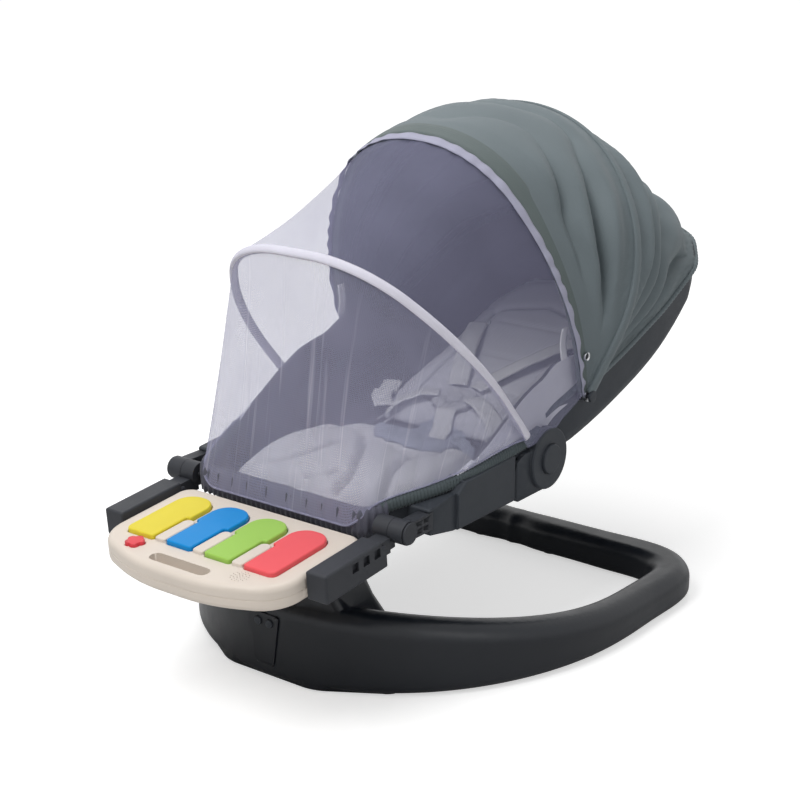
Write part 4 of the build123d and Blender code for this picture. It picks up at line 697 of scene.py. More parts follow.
# %% The rim of the shells
# A station is a place along the seat, half the rim's width there, and the rim's height.
SEAT_STATIONS = (
    (-212, 112, 213), (-203, 122, 217), (-182, 130, 221), (-140, 148, 226), (-90, 163, 232), (0, 165, 241),
    (56, 165, 247),
)
BACK_STATIONS = (
    (45, 156, 248), (80, 158, 261), (125, 167, 278), (200, 173, 307), (290, 175, 341), (378, 170, 377),
    (428, 136, 398), (452, 86, 408),
)
FRONT_END, HEAD_END = -212, 452
CANOPY_HEM_START = 118


def softened(values, width):
    """A run of numbers averaged with its neighbours, its ends kept."""
    kernel = np.hanning(width + 2)[1:-1]
    padded = np.pad(values, width // 2, mode="reflect", reflect_type="odd")
    return np.convolve(padded, kernel / kernel.sum(), mode="valid")


def rim_line(stations, start, stop, out, down, count):
    """Points along a rim from the left, round the closed end, to the right, in drawing millimetres."""
    table = np.array(stations, float)
    ys = np.linspace(start, stop, 160)
    half = np.interp(ys, table[:, 0], table[:, 1]) + out
    rim = np.interp(ys, table[:, 0], table[:, 2]) - down
    closed = stop + (out if stop > start else -out)
    ys = ys + (closed - stop) * ((ys - start) / (stop - start)) ** 8
    left = np.stack([-half, ys, rim], axis=1)
    right = left[::-1] * np.array([-1, 1, 1])
    line = even(np.concatenate([left, right]), 4 * count)
    line = np.stack([softened(line[:, k], 4 * count // 16 + 1) for k in range(3)], axis=1)
    return even(line, count)


# %% Rear panel with deep folds and a gathered edge
REAR_ROWS = 81
REAR_SAG = (12, 38)
rear_grid = canopy_rows(
    REAR_ARCH, REAR_ANGLE, HEAD_ARCH, HEAD_ANGLE, REAR_ROWS, FRONT_COLUMNS, REAR_SAG, CLOTH_FOOT
)
head_rim = rim_line(BACK_STATIONS, CANOPY_HEM_START, HEAD_END, 5, 4, FRONT_COLUMNS)
rear_share = np.linspace(0, 1, REAR_ROWS)[:, None]
rear_grid = rear_grid + (head_rim - rear_grid[-1])[None] * (rear_share**1.6)[..., None]
rear_side = from_feet(rear_grid)
rear_back = lengths_from_front(rear_grid)
rear_ahead = rear_back[-1:] - rear_back
rear_height = fold_height(rear_side, 15, (5, 200), (240, 180))
rear_hold = smooth_step((rear_back - 5) / 26) * smooth_step((rear_ahead - 2) / 34)
rear_folds = fan_folds(rear_grid, 3.4, 0.6, 5.2) * rear_height * rear_hold
rear_fine = crease(lengths_from_left(rear_grid) * 2 * math.pi / 13 + 6 * rough_field(rear_grid, 0.016, 2.9))
rear_folds += 2.4 * rear_fine * np.exp(-rear_ahead / 22) * smooth_step(rear_ahead / 9)
rear_folds += 1.6 * rear_fine * np.exp(-rear_back / 16) * smooth_step((rear_back - 4) / 8)
rear_cloth = rear_grid + normals(rear_grid) * rear_folds[..., None]
canopy_rear = lay_sheet("canopy_rear", moved(rear_cloth), "canopy_cloth", CANOPY_THICK)
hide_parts("canopy_rear_panel")

# %% [markdown]
# Strips finish the canopy's edges: a facing folded round the front hoop, a channel sewn over the rear hoop,
# and a gathered hem along the rim. Each is laid on its hoop by a small cross-section, given as distances
# outwards from the wire and forwards from the hoop's plane.

# %% Strips along hoops
def hoop_strip(arch, angle, y, z, section, count, foot):
    """A grid along a hoop, with a cross-section of (outwards, forwards) distances."""
    line = arch_line(arch, foot, 0, y, z, angle, count)
    along = np.gradient(line, axis=0)
    along /= np.linalg.norm(along, axis=1, keepdims=True)
    forward = np.array([0, -math.sin(math.radians(angle)), math.cos(math.radians(angle))])
    outward = np.cross(forward, along)
    if outward[count // 2, 2] < 0:
        outward = -outward
    rows = [line + outward * out + forward * ahead for out, ahead in section]
    return np.array(rows)


def half_turn(radius, steps):
    """A half turn round a wire, from its outer side over its front to its inner side."""
    turns = [math.pi * step / steps for step in range(steps + 1)]
    return [(radius * math.cos(turn), radius * math.sin(turn)) for turn in turns]


# %% Facing and channel of the canopy
STRIP_COLUMNS = 241
facing_section = [(5.0, -FACING_WIDTH), (6.1, 1.5 - FACING_WIDTH), (6.3, -13), (6.2, -6), (6.0, -2)]
facing_section += half_turn(6.0, 10) + [(-5.2, -4), (-4.8, -9)]
facing_grid = hoop_strip(
    FRONT_ARCH, FRONT_ANGLE, PIVOT_Y, PIVOT_Z, facing_section[::-1], STRIP_COLUMNS, CLOTH_FOOT
)
canopy_facing = lay_sheet("canopy_facing", moved(facing_grid), "canopy_band", STRIP_THICK)
channel_section = [(4.4, -7), (5.4, -5.5), (6.0, -3.5), (6.5, -1.5), (6.6, 0)]
channel_section += [(6.5, 1.5), (6.0, 3.5), (5.4, 5.5), (4.4, 7)]
channel_section += [(1.0, 5.2), (-2.6, 3.4), (-3.8, 0), (-2.6, -3.4), (1.0, -5.2), (4.4, -7)]
channel_grid = hoop_strip(
    REAR_ARCH, REAR_ANGLE, PIVOT_Y, PIVOT_Z, channel_section[::-1], STRIP_COLUMNS, CLOTH_FOOT
)
canopy_channel = lay_sheet("canopy_channel", moved(channel_grid), "canopy_cloth", STRIP_THICK)

# %% Gathered hem of the canopy
UP = np.array([0, 0, 1.0])
SEAM_GAP = 0.00005


def tube_grid(line, radius, around, ruche=0.0, pitch=7.0):
    """A tube along a line, its radius gathered by an elastic inside it."""
    along = np.gradient(line, axis=0)
    along /= np.linalg.norm(along, axis=1, keepdims=True)
    aside = np.cross(along, UP)
    aside /= np.linalg.norm(aside, axis=1, keepdims=True)
    lift = np.cross(aside, along)
    steps = np.concatenate([[0], np.cumsum(np.linalg.norm(np.diff(line, axis=0), axis=1))])
    swell = radius + ruche * np.abs(np.sin(steps * math.pi / pitch + 0.7 * np.sin(steps / 23)))
    rows = []
    for turn in np.linspace(0, 2 * math.pi, around + 1):
        rows.append(line + (aside * math.cos(turn) + lift * math.sin(turn)) * swell[:, None])
    return np.array(rows)


def lay_tube(name, line, radius, finish, around=10, ruche=0.0, pitch=7.0):
    """A closed tube of cloth along a line."""
    tube = lay_sheet(name, moved(tube_grid(line, radius, around, ruche, pitch)), finish)
    pick(tube)
    bpy.ops.object.mode_set(mode="EDIT")
    bpy.ops.mesh.select_all(action="SELECT")
    bpy.ops.mesh.remove_doubles(threshold=SEAM_GAP)
    face_outwards()
    return tube


hem_line = rim_line(BACK_STATIONS, CANOPY_HEM_START, HEAD_END, 5.5, 5, 641)
canopy_hem = lay_tube("canopy_hem", hem_line, 2.6, "canopy_cloth", ruche=1.0, pitch=6.5)

# %% [markdown]
# A press stud holds the net at each lower front corner: a bright rolled ring round a dark socket. It is one
# cylinder whose outer face is inset and pushed in, made once and copied to the other side.

# %% Press studs
STUD_RADIUS, STUD_DEPTH, STUD_ROLL = 5.2, 3.0, 0.5
STUD_RIM, STUD_SINK = 1.9, 1.4
SOCKET_RIM, SOCKET_RISE = 1.2, 0.6
STUD_SEAT = 1.4
stud_low, stud_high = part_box(STUD_NODE)
stud_y, stud_z = (stud_low[1] + stud_high[1]) / 2, (stud_low[2] + stud_high[2]) / 2
bpy.ops.object.select_all(action="DESELECT")
bpy.ops.mesh.primitive_cylinder_add(vertices=40, radius=STUD_RADIUS * MM, depth=STUD_DEPTH * MM)
stud_right = bpy.context.object
stud_right.name = "press_stud_right"
bpy.ops.object.mode_set(mode="EDIT")
bpy.ops.mesh.select_all(action="DESELECT")
bpy.ops.object.mode_set(mode="OBJECT")
for face in stud_right.data.polygons:
    face.select = face.normal.z > 0.9
bpy.ops.object.mode_set(mode="EDIT")
bpy.ops.mesh.inset(thickness=STUD_RIM * MM)
bpy.ops.transform.translate(value=(0, 0, -STUD_SINK * MM))
bpy.ops.mesh.inset(thickness=SOCKET_RIM * MM)
bpy.ops.transform.translate(value=(0, 0, SOCKET_RISE * MM))
bpy.ops.object.mode_set(mode="OBJECT")
bevelled(stud_right, STUD_ROLL)
bpy.ops.object.shade_smooth_by_angle(angle=SMOOTH_UP_TO)
dress(stud_right, "stud_metal")
stud_right.data.materials.append(finishes["stud_socket"])
for face in stud_right.data.polygons:
    inner = math.hypot(face.center.x, face.center.y) < (STUD_RADIUS - STUD_RIM) * MM
    face.material_index = 1 if inner and face.center.z > 0 else 0
stud_left = stud_right.copy()
stud_left.data = stud_right.data.copy()
stud_left.name = "press_stud_left"
bpy.context.collection.objects.link(stud_left)
for stud, side in ((stud_right, 1), (stud_left, -1)):
    turn = Matrix.Rotation(side * math.pi / 2, 4, "Y")
    stud_x = side * (stud_high[0] - STUD_SEAT * MM)
    stud.data.transform(Matrix.Translation((stud_x, stud_y, stud_z)) @ turn)
    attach(stud, "canopy_front_hoop")
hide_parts(STUD_NODE)
print("press studs at height", round(stud_z, 4))

# %% [markdown]
# Inside each foot of the front hoop a short white tab of webbing holds the facing. It is a small strip that
# bows inwards a little.

# %% Tabs at the feet of the front hoop
TAB_LOW, TAB_HIGH, TAB_FRONT, TAB_WIDTH, TAB_OUT, TAB_BOW = 316, 354, 88, 12, 163, 2.5
WEBBING_THICK = 0.0014


def tab_rows(side):
    """Rows of points up a tab on the right (1) or the left (-1), facing inwards."""
    rows = []
    for across in np.linspace(0, 1, 7):
        row = []
        for up in np.linspace(0, 1, 15):
            out = TAB_OUT - TAB_BOW * math.sin(math.pi * up)
            row.append((side * out, TAB_FRONT + TAB_WIDTH * across, TAB_LOW + (TAB_HIGH - TAB_LOW) * up))
        rows.append(row)
    return np.array(rows)[:, ::side]


for side, word in ((1, "right"), (-1, "left")):
    tab = lay_sheet("hoop_tab_" + word, moved(tab_rows(side)), "webbing", WEBBING_THICK)
    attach(tab, "canopy_front_hoop")
    flat_size(moved(tab_rows(side)))

# %% [markdown]
# The canopy folds on its hoops, but here its two panels keep their place in the model's frame. The strips
# ride on the hoop that they are sewn to.


moved(front_cloth)
moved(rear_cloth)
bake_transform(canopy_front)
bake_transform(canopy_rear)
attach(canopy_facing, "canopy_front_hoop")
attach(canopy_channel, "canopy_rear_hoop")
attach(canopy_hem, "back")

# %% [markdown]
# ## The insect net
# The net runs from the canopy's front edge over a loose wire bow and falls to the front of the seat. It is
# made in two sheets, one on each side of the bow. White tapes are sewn along the canopy edge and over the bow.

# %% Net hood
BOW_Y, BOW_Z, BOW_ANGLE = 11, 246, 131
BOW_ARCH = (168.5, 168.5, 158, 300, 86, 294, 118)
SKIRT_MIDDLE_ARCH, SKIRT_MIDDLE_ANGLE = (168.5, 168.5, 130, 198, 100, 230, 100), 150.5
NET_OUT = 4.0
NET_FOOT = 3
HOOD_ROWS, NET_COLUMNS = 41, 241

RIM_YS = [station[0] for station in SEAT_STATIONS] + [station[0] for station in BACK_STATIONS[1:]]
RIM_ZS = [station[2] for station in SEAT_STATIONS] + [station[2] for station in BACK_STATIONS[1:]]
front_edge = arch_line(FRONT_ARCH, NET_FOOT, NET_OUT, PIVOT_Y, PIVOT_Z, FRONT_ANGLE + 1, NET_COLUMNS)
bow_edge = arch_line(BOW_ARCH, NET_FOOT, NET_OUT, BOW_Y, BOW_Z, BOW_ANGLE, NET_COLUMNS)
hood_share = np.linspace(0, 1, HOOD_ROWS)[:, None]
hood_grid = bow_edge[None] + (front_edge - bow_edge)[None] * hood_share[..., None]
hood_side = from_feet(hood_grid)
hood_fall = np.interp(hood_grid[:, :1, 1], RIM_YS, RIM_ZS) - 7 - hood_grid[:, :1, 2]
hood_grid[..., 2] += hood_fall.clip(None, 0) * np.exp(-((hood_side / 40) ** 2))
hood_folds = -7 * np.sin(math.pi * hood_share) * smooth_step(hood_side / 220)
hood_folds = hood_folds + 1.5 * rough_field(hood_grid, 0.012, 2.3) * np.sin(math.pi * hood_share)
hood_cloth = hood_grid + normals(hood_grid) * hood_folds[..., None]
net_hood = lay_sheet("net_hood_veil", moved(hood_cloth), "net_white")
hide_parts("net_hood")

# %% [markdown]
# The skirt falls from the bow to the rim of the seat, and is gathered there. Each column of its grid is a
# curve through three points: the hem, a middle arch that gives the belly of the net, and the bow. Pleats fade
# out upwards from the hem.

# %% Net skirt with pleats to the front hem
SKIRT_ROWS = 61
PLEATS, PLEAT_DEPTH = 27, 1.3


def skirt_hem_line(count):
    """The skirt's hem, from the bow's left foot round the front of the seat to its right foot."""
    sides = [
        (168.5 + NET_OUT, 11, 247), (167, -10, 245.5), (163, -40, 242), (160.5, -90, 237), (146, -140, 231),
        (128.5, -182, 226), (120, -203, 221), (111, -216, 206), (97, -219, 196),
    ]
    left = [(-x, y, z) for x, y, z in sides]
    line = even(np.array(left + sides[::-1], float), 4 * count)
    line = np.stack([softened(line[:, k], 31) for k in range(3)], axis=1)
    return even(line, count)


skirt_hem = skirt_hem_line(NET_COLUMNS)
skirt_middle = arch_line(SKIRT_MIDDLE_ARCH, NET_FOOT, NET_OUT, BOW_Y, BOW_Z, SKIRT_MIDDLE_ANGLE, NET_COLUMNS)
skirt_share = np.linspace(0, 1, SKIRT_ROWS)[:, None]
bulge = 2 * skirt_middle - (skirt_hem + bow_edge) / 2
weights = ((1 - skirt_share) ** 2, 2 * skirt_share * (1 - skirt_share), skirt_share**2)
skirt_lines = (skirt_hem, bulge, bow_edge)
skirt_grid = sum(weight[..., None] * line[None] for weight, line in zip(weights, skirt_lines))
skirt_part = np.linspace(0, 1, NET_COLUMNS)[None]
skirt_wander = np.array([noise.noise(Vector((part * 9, 4.4, 0))) for part in skirt_part[0]])[None]
pleat = crease(skirt_part * 2 * math.pi * PLEATS + 5 * skirt_wander)
skirt_hold = smooth_step(from_feet(skirt_grid) / 150)
skirt_folds = PLEAT_DEPTH * pleat * smooth_step(1 - 1.5 * skirt_share) * skirt_hold
skirt_folds = skirt_folds + 1.2 * rough_field(skirt_grid, 0.012, 6.6) * np.sin(math.pi * skirt_share)
skirt_cloth = skirt_grid + normals(skirt_grid) * skirt_folds[..., None]
net_skirt = lay_sheet("net_skirt_veil", moved(skirt_cloth), "net_pleated")
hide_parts("net_skirt")

# %% [markdown]
# The tape over the bow is a small closed cross-section carried along the wire. The tape at the canopy is a
# narrow band of the hood's own surface, lifted a little and ruffled. The skirt's hem is a thin gathered tube.

# %% White tapes of the net
TAPE_THICK = 0.0007
bow_section = [(3.4, -5.5), (4.6, -4), (5.4, -2), (5.7, 0), (5.4, 2), (4.6, 4), (3.4, 5.5), (0.5, 4.4)]
bow_section += [(-2.2, 3.4), (-3.6, 0), (-2.2, -3.4), (0.5, -4.4), (3.4, -5.5)]
bow_tape_grid = hoop_strip(BOW_ARCH, BOW_ANGLE, BOW_Y, BOW_Z, bow_section[::-1], STRIP_COLUMNS, NET_FOOT)
bow_tape = lay_sheet("net_bow_tape", moved(bow_tape_grid), "tape_white", TAPE_THICK)
edge_along = np.linspace(0, 1, NET_COLUMNS)
edge_ruffle = np.sin(edge_along * 2 * math.pi * 29 + 2 * np.sin(edge_along * 2 * math.pi * 5))
edge_width = (0.052 + 0.004 * edge_ruffle)[:, None]
edge_rows = (1, 0.75, 0.5, 0.25, 0)
edge_tape_grid = np.array([front_edge + (bow_edge - front_edge) * edge_width * part for part in edge_rows])
edge_tape_grid = edge_tape_grid + normals(edge_tape_grid) * (1.4 + 0.7 * edge_ruffle[None, :, None])
edge_tape = lay_sheet("net_edge_tape", moved(edge_tape_grid), "tape_lavender", TAPE_THICK)
hem_tube = lay_tube("net_hem", skirt_hem, 1.0, "net_pleated", ruche=0.3, pitch=6)

# %% [markdown]
# The hood keeps its place in the model's frame. The skirt rides on the bow.

# %% Put the net on its bodies
moved(hood_cloth)
moved(skirt_cloth)
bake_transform(net_hood)
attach(bow_tape, "net_bow")
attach(edge_tape, "canopy_front_hoop")
for falling in (net_skirt, hem_tube):
    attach(falling, "net_bow")
    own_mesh(falling)

# %% [markdown]
# ## The lining
# A dark mesh pad lines both shells in one piece: down the front wall, along the floor and sides, and up to
# the head. It is one sheet laid inside the shells.

# %% Lining
LINING_IN = 7.4
# A station of the lining has the floor's height as well.
LINING_STATIONS = (
    (-205, 112, 216, 214), (-203, 119, 217, 182), (-182, 130, 221, 170), (-140, 148, 226, 170),
    (-90, 162, 232, 170), (0, 161, 241, 170), (30, 157, 245, 175), (56, 155, 252, 184), (80, 157, 261, 190),
    (125, 166, 278, 202), (200, 172, 307, 226), (290, 174, 341, 260), (378, 169, 377, 310),
    (428, 135, 398, 350), (445, 100, 405, 370),
)
LINING_ROWS, LINING_COLUMNS = 121, 101
LINING_THICK, LINING_FILL = 0.0028, 0.3


def bucket_line(half, rim, bottom, inset, count):
    """The inside of a shell from the left rim over the floor to the right rim."""
    low = half - 5 - inset
    depth = max(rim - bottom - inset, 0.5)
    corner = max(min(28, 0.6 * depth) - inset * 0.5, 0.2)
    left = ((inset - half, rim, 0), (-low, rim - depth, corner))
    right = ((low, rim - depth, corner), (half - inset, rim, 0))
    return rounded_line(left + right, count)


def lining_rows(inset):
    """Rows of points across the shells, an inset in from them, from the front wall to the head."""
    table = np.array(LINING_STATIONS, float)
    ys = even(table[:, (0, 3)], LINING_ROWS)[:, 0]
    values = [softened(np.interp(ys, table[:, 0], table[:, k]), 5) for k in (1, 2, 3)]
    rows = []
    for y, half, rim, bottom in zip(ys, *values):
        line = bucket_line(half, rim, bottom, inset, LINING_COLUMNS)
        rows.append(np.stack([line[:, 0], np.full(len(line), y), line[:, 1]], axis=1))
    return np.array(rows)


lining_grid = lining_rows(LINING_IN)
pucker = 1.1 * rough_field(lining_grid, 0.03, 9.1) + 0.5 * rough_field(lining_grid, 0.09, 2.2)
lining_cloth = lining_grid + normals(lining_grid) * pucker[..., None]
lining = lay_sheet("mesh_lining", moved(lining_cloth), "pad_mesh", LINING_THICK)
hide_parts("seat_lining", "back_lining")
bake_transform(lining)

# %% [markdown]
# A ribbed elastic hem holds the lining over the rim of each shell. Its cross-section is a cap over the rim,
# and the ribs are modelled, since they catch the light along the whole near side.

# %% Ribbed rim hem
RIB_PITCH, SEAT_RIB, BACK_RIB = 4.2, 0.7, 0.45
SEAT_HEM_END, BACK_HEM_END, HEM_FRONT = 44, 66, -199
# Ribs stand out from this point of the cross-section, which lies inside the rim.
RIB_HEART = (-1.5, -6)


def capped_rim(stations, start, stop, section, pitch, rib):
    """A grid over a rim, with a cross-section of (outwards, upwards) distances and ribs across it."""
    plain = rim_line(stations, start, stop, 0, 0, 400)
    length = np.linalg.norm(np.diff(plain, axis=0), axis=1).sum()
    count = int(length / pitch * 4)
    line = rim_line(stations, start, stop, 0, 0, count)
    along = np.gradient(line, axis=0)
    along /= np.linalg.norm(along, axis=1, keepdims=True)
    aside = np.cross(along, UP)
    aside /= np.linalg.norm(aside, axis=1, keepdims=True)
    middle = line.mean(axis=0)
    if (aside * (line - middle)).sum() < 0:
        aside = -aside
    rows = []
    ribs = rib * np.sin(np.arange(count) * math.pi / 2)[:, None]
    for out, up in section:
        outwards, upwards = out - RIB_HEART[0], up - RIB_HEART[1]
        reach = math.hypot(outwards, upwards)
        rows.append(line + aside * (out + ribs * outwards / reach) + UP * (up + ribs * upwards / reach))
    return np.array(rows)


hem_section = [
    (2.6, -9), (2.8, -5), (2.4, -1), (0.6, 2.2), (-2.5, 3.4), (-5.8, 2.4), (-8.6, -0.6), (-9.4, -5),
]
seat_hem_grid = capped_rim(SEAT_STATIONS, SEAT_HEM_END, FRONT_END, hem_section, RIB_PITCH, SEAT_RIB)
seat_hem_side = seat_hem_grid[0, :, 1] > HEM_FRONT
half_way = seat_hem_side.size // 2
seat_hems = []
for half, word in ((slice(None, half_way), "left"), (slice(half_way, None), "right")):
    run = seat_hem_grid[:, half][:, seat_hem_side[half]]
    seat_hem = lay_sheet("seat_hem_" + word, moved(run), "hem_rib", STRIP_THICK)
    moved(run)
    seat_hems.append(seat_hem)
back_hem_section = [(1.4, -3), (1.2, 0.5), (-1.0, 2.4), (-3.8, 3.0), (-6.6, 1.8), (-8.8, -1.4), (-9.4, -5)]
back_hem_grid = capped_rim(BACK_STATIONS, BACK_HEM_END, HEAD_END, back_hem_section, RIB_PITCH, BACK_RIB)
back_hem = lay_sheet("back_hem", moved(back_hem_grid), "hem_rib", STRIP_THICK)
moved(back_hem_grid)
for hem, body in ((seat_hems[0], "seat"), (seat_hems[1], "seat"), (back_hem, "back")):
    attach(hem, body)

# %% [markdown]
# At the front the cover is drawn over the edge and gathered by an elastic, so it stands in close pleats. It
# is the same cap over the rim with a deeper front and with pleats in place of ribs.

# %% Pleated front apron
APRON_SIDE = -190
APRON_PITCH, APRON_PLEAT = 7.0, 1.4
apron_section = [(3.6, -27), (4.2, -18), (4.2, -9), (3.4, -2), (1.2, 1.2)]
apron_section += [(-2.5, 2.2), (-6.2, 1.4), (-9.6, -2), (-10.8, -8)]
apron_grid = capped_rim(SEAT_STATIONS, APRON_SIDE, FRONT_END, apron_section, APRON_PITCH, APRON_PLEAT)
apron = lay_sheet("front_apron", moved(apron_grid), "apron_dark", STRIP_THICK)
moved(apron_grid)
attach(apron, "seat")

# %% [markdown]
# Beside the hinge the cover stands up as a padded wing on each side, dark mesh inside and pale cloth outside.
# Each wing is a sheet with a thickness. The faces that look outwards get the second finish.

# %% Padded side wings
# A point of a wing's line is its place along the seat, how far out it stands and its height over the rim.
WING_LINE = (
    (-118, 149, 0), (-90, 157, 9), (-60, 159, 19), (-27, 160, 34), (10, 159, 49),
    (45, 156, 54), (80, 154, 52), (110, 158, 46), (140, 162, 32), (180, 166, 6),
)
WING_LOW, WING_BELLY = 12, 2.5
WING_THICKNESS, WING_ROUND, WING_CORNER = 0.005, 1.6, 50
WING_ROWS, WING_COLUMNS = 21, 121


def wing_grid(side):
    """Rows of points from under the rim up to the top of the right (1) or the left (-1) wing."""
    table = np.array(WING_LINE, float)
    ys = np.linspace(table[0, 0], table[-1, 0], WING_COLUMNS)
    out = softened(np.interp(ys, table[:, 0], table[:, 1]), 15)
    top = softened(np.interp(ys, table[:, 0], table[:, 2]), 15)
    rim = softened(np.interp(ys, RIM_YS, RIM_ZS), 15)
    rows = []
    for share in np.linspace(0, 1, WING_ROWS):
        rise = share * (top + WING_LOW) - WING_LOW
        belly = WING_BELLY * math.sin(math.pi * share)
        rows.append(np.stack([side * (out - belly), ys, rim + rise], axis=1))
    return np.array(rows)[:, ::-side]


for side, name in ((1, "wing_right"), (-1, "wing_left")):
    wing = lay_sheet(name, moved(wing_grid(side)), "pad_mesh", WING_THICKNESS)
    bevelled(wing, WING_ROUND, WING_CORNER)
    wing.data.materials.append(finishes["back_lavender"])
    for face in wing.data.polygons:
        face.material_index = 1 if face.normal.x * side > 0.3 else 0
    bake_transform(wing)

# %% [markdown]
# ## The insert cushion
# The insert is a light padded cushion: a seat half with two lobes at the front, a back half, and a small flap
# under the buckle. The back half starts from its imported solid. The other two start as a filled circle that is
# moved to the cushion's cut line and extruded. All are remeshed evenly and blown up as cloth with a little
# pressure. The seat half is then laid on the lining, and the flap over the other two.

# %% Cut a pad to its outline
PAD_POINTS = 120
PAD_FLOOR, SEAT_PAD_TOP, FLAP_TOP = 179.5, 208, 184.5
CUT_SOFT = 12


def cut_pad(name, outline, low, high):
    """A flat pad between two heights of the drawing, cut to an outline of (x, y)."""
    closed = even(np.array([*outline, outline[0]], float), 4 * PAD_POINTS + 1)[:-1]
    kernel = np.hanning(2 * CUT_SOFT + 3)[1:-1]
    kernel = kernel / kernel.sum()
    wrapped = np.concatenate([closed[-CUT_SOFT:], closed, closed[:CUT_SOFT]])
    closed = np.stack([np.convolve(wrapped[:, k], kernel, mode="valid") for k in range(2)], axis=1)
    line = even(np.concatenate([closed, closed[:1]]), PAD_POINTS + 1)[:-1]
    bpy.ops.object.select_all(action="DESELECT")
    bpy.ops.mesh.primitive_circle_add(vertices=PAD_POINTS, radius=1, fill_type="NGON")
    pad = bpy.context.object
    pad.name = name
    pad.data.vertices.foreach_set("co", moved([(x, y, low) for x, y in line]).ravel())
    bpy.ops.object.mode_set(mode="EDIT")
    bpy.ops.mesh.select_all(action="SELECT")
    bpy.ops.mesh.extrude_region_move(TRANSFORM_OT_translate={"value": (0, 0, (high - low) * MM)})
    face_outwards()
    return pad, line


SEAT_OUTLINE = (
    (96, 30), (113, -10), (116, -60), (108, -118), (80, -168), (50, -194), (22, -195), (4, -180), (-10, -166),
    (-24, -176), (-42, -193), (-70, -195), (-104, -176), (-122, -140), (-136, -90), (-138, -40), (-122, 10),
    (-80, 36), (0, 40),
)
FLAP_OUTLINE = (
    (-54, 62), (-34, 82), (0, 88), (42, 82), (72, 62), (82, 30), (66, -4), (46, -28), (0, -22), (-36, -15),
    (-56, 20),
)

# %% Puff a pad with cloth
PAD_VOXEL = 0.005
PAD_FRAMES = 20
PAD_PRESSURE = 4


def points_of(piece):
    """A piece's points as an array."""
    spots = np.empty(len(piece.data.vertices) * 3)
    piece.data.vertices.foreach_get("co", spots)
    return spots.reshape(-1, 3)


def move_points(piece, spots):
    """Puts a piece's points where an array says."""
    piece.data.vertices.foreach_set("co", spots.ravel())
    piece.data.update()


def puffed(pad, cap):
    """A pad remeshed and blown up, with no point moved further than a cap."""
    remesh = pad.modifiers.new("even", "REMESH")
    remesh.mode = "VOXEL"
    remesh.voxel_size = PAD_VOXEL
    apply_all(pad)
    start = points_of(pad)
    blown = pad.modifiers.new("cloth", "CLOTH")
    blown.settings.use_pressure = True
    blown.settings.uniform_pressure_force = PAD_PRESSURE
    blown.settings.effector_weights.gravity = 0
    for step in range(1, PAD_FRAMES + 1):
        bpy.context.scene.frame_set(step)
    apply_all(pad)
    bpy.context.scene.frame_set(1)
    shift = points_of(pad) - start
    far = np.maximum(np.linalg.norm(shift, axis=1, keepdims=True), 1e-9)
    end = start + shift * np.minimum(1, cap / far)
    pad.data.vertices.foreach_set("co", end.ravel())
    finer = pad.modifiers.new("finer", "SUBSURF")
    finer.levels = 1
    finer.render_levels = 1
    apply_all(pad)
    pick(pad)
    bpy.ops.object.shade_smooth()
    print(pad.name, "moved up to", round(float(np.linalg.norm(end - start, axis=1).max()) * 1000, 1), "mm")


# %% Puff the three pads
FULL_PUFF, FLAP_PUFF = 0.005, 0.003
seat_pad, seat_edge = cut_pad("seat_insert_pad", SEAT_OUTLINE, PAD_FLOOR, SEAT_PAD_TOP)
flap_pad, _ = cut_pad("buckle_flap_pad", FLAP_OUTLINE, PAD_FLOOR, FLAP_TOP)
back_pad = copy_node("back_insert", "back_insert_pad")
for pad, cap in ((seat_pad, FULL_PUFF), (flap_pad, FLAP_PUFF), (back_pad, FULL_PUFF)):
    puffed(pad, cap)

# %% Lay the pads on the lining
lining_tree = tree_of(lining)
LAY_GAP = 0.6
EDGE_DROP, EDGE_REACH = 0.42, 0.013
FRONT_SWELL, SWELL_START, SWELL_REACH = 0.3, 0.14, 0.05


def floor_under(x, y, tree):
    """The height in metres of a surface under a point of the model."""
    hit = tree.ray_cast(Vector((x, y, 0.5)), Vector((0, 0, -1)))[0]
    return PAD_FLOOR * MM if hit is None else hit.z


def drape(pad, edge, tree, gap):
    """Rounds a flat pad's upper edge, keeps its underside flat, and lays it on a surface."""
    spots = points_of(pad)
    cut = moved([(x, y, 0) for x, y in edge])[:, :2]
    inward = np.array([np.linalg.norm(cut - spot, axis=1).min() for spot in spots[:, :2]])
    height = np.maximum(spots[:, 2] - PAD_FLOOR * MM, 0)
    height *= 1 - EDGE_DROP * np.exp(-((inward / EDGE_REACH) ** 2))
    height *= 1 + FRONT_SWELL * smooth_step((SHIFT - SWELL_START - spots[:, 1]) / SWELL_REACH)
    ground = np.array([floor_under(x, y, tree) for x, y in spots[:, :2]]) + gap * MM
    spots[:, 2] = np.maximum(ground, PAD_FLOOR * MM) + height
    move_points(pad, spots)


drape(seat_pad, seat_edge, lining_tree, LAY_GAP)
print("seat pad up to", round(float(points_of(seat_pad)[:, 2].max()), 3), "m")

# %% [markdown]
# The sewn lines hold the two faces of the cushion together. Each is pressed into the top as a soft valley, so
# that it is real shape, and an attribute marks it, so that the finish can paint shade into the valley.

# %% Sewn lines of the insert
SEAT_SEAM, BACK_SEAM = (9.5, 5.0), (4.5, 4.5)


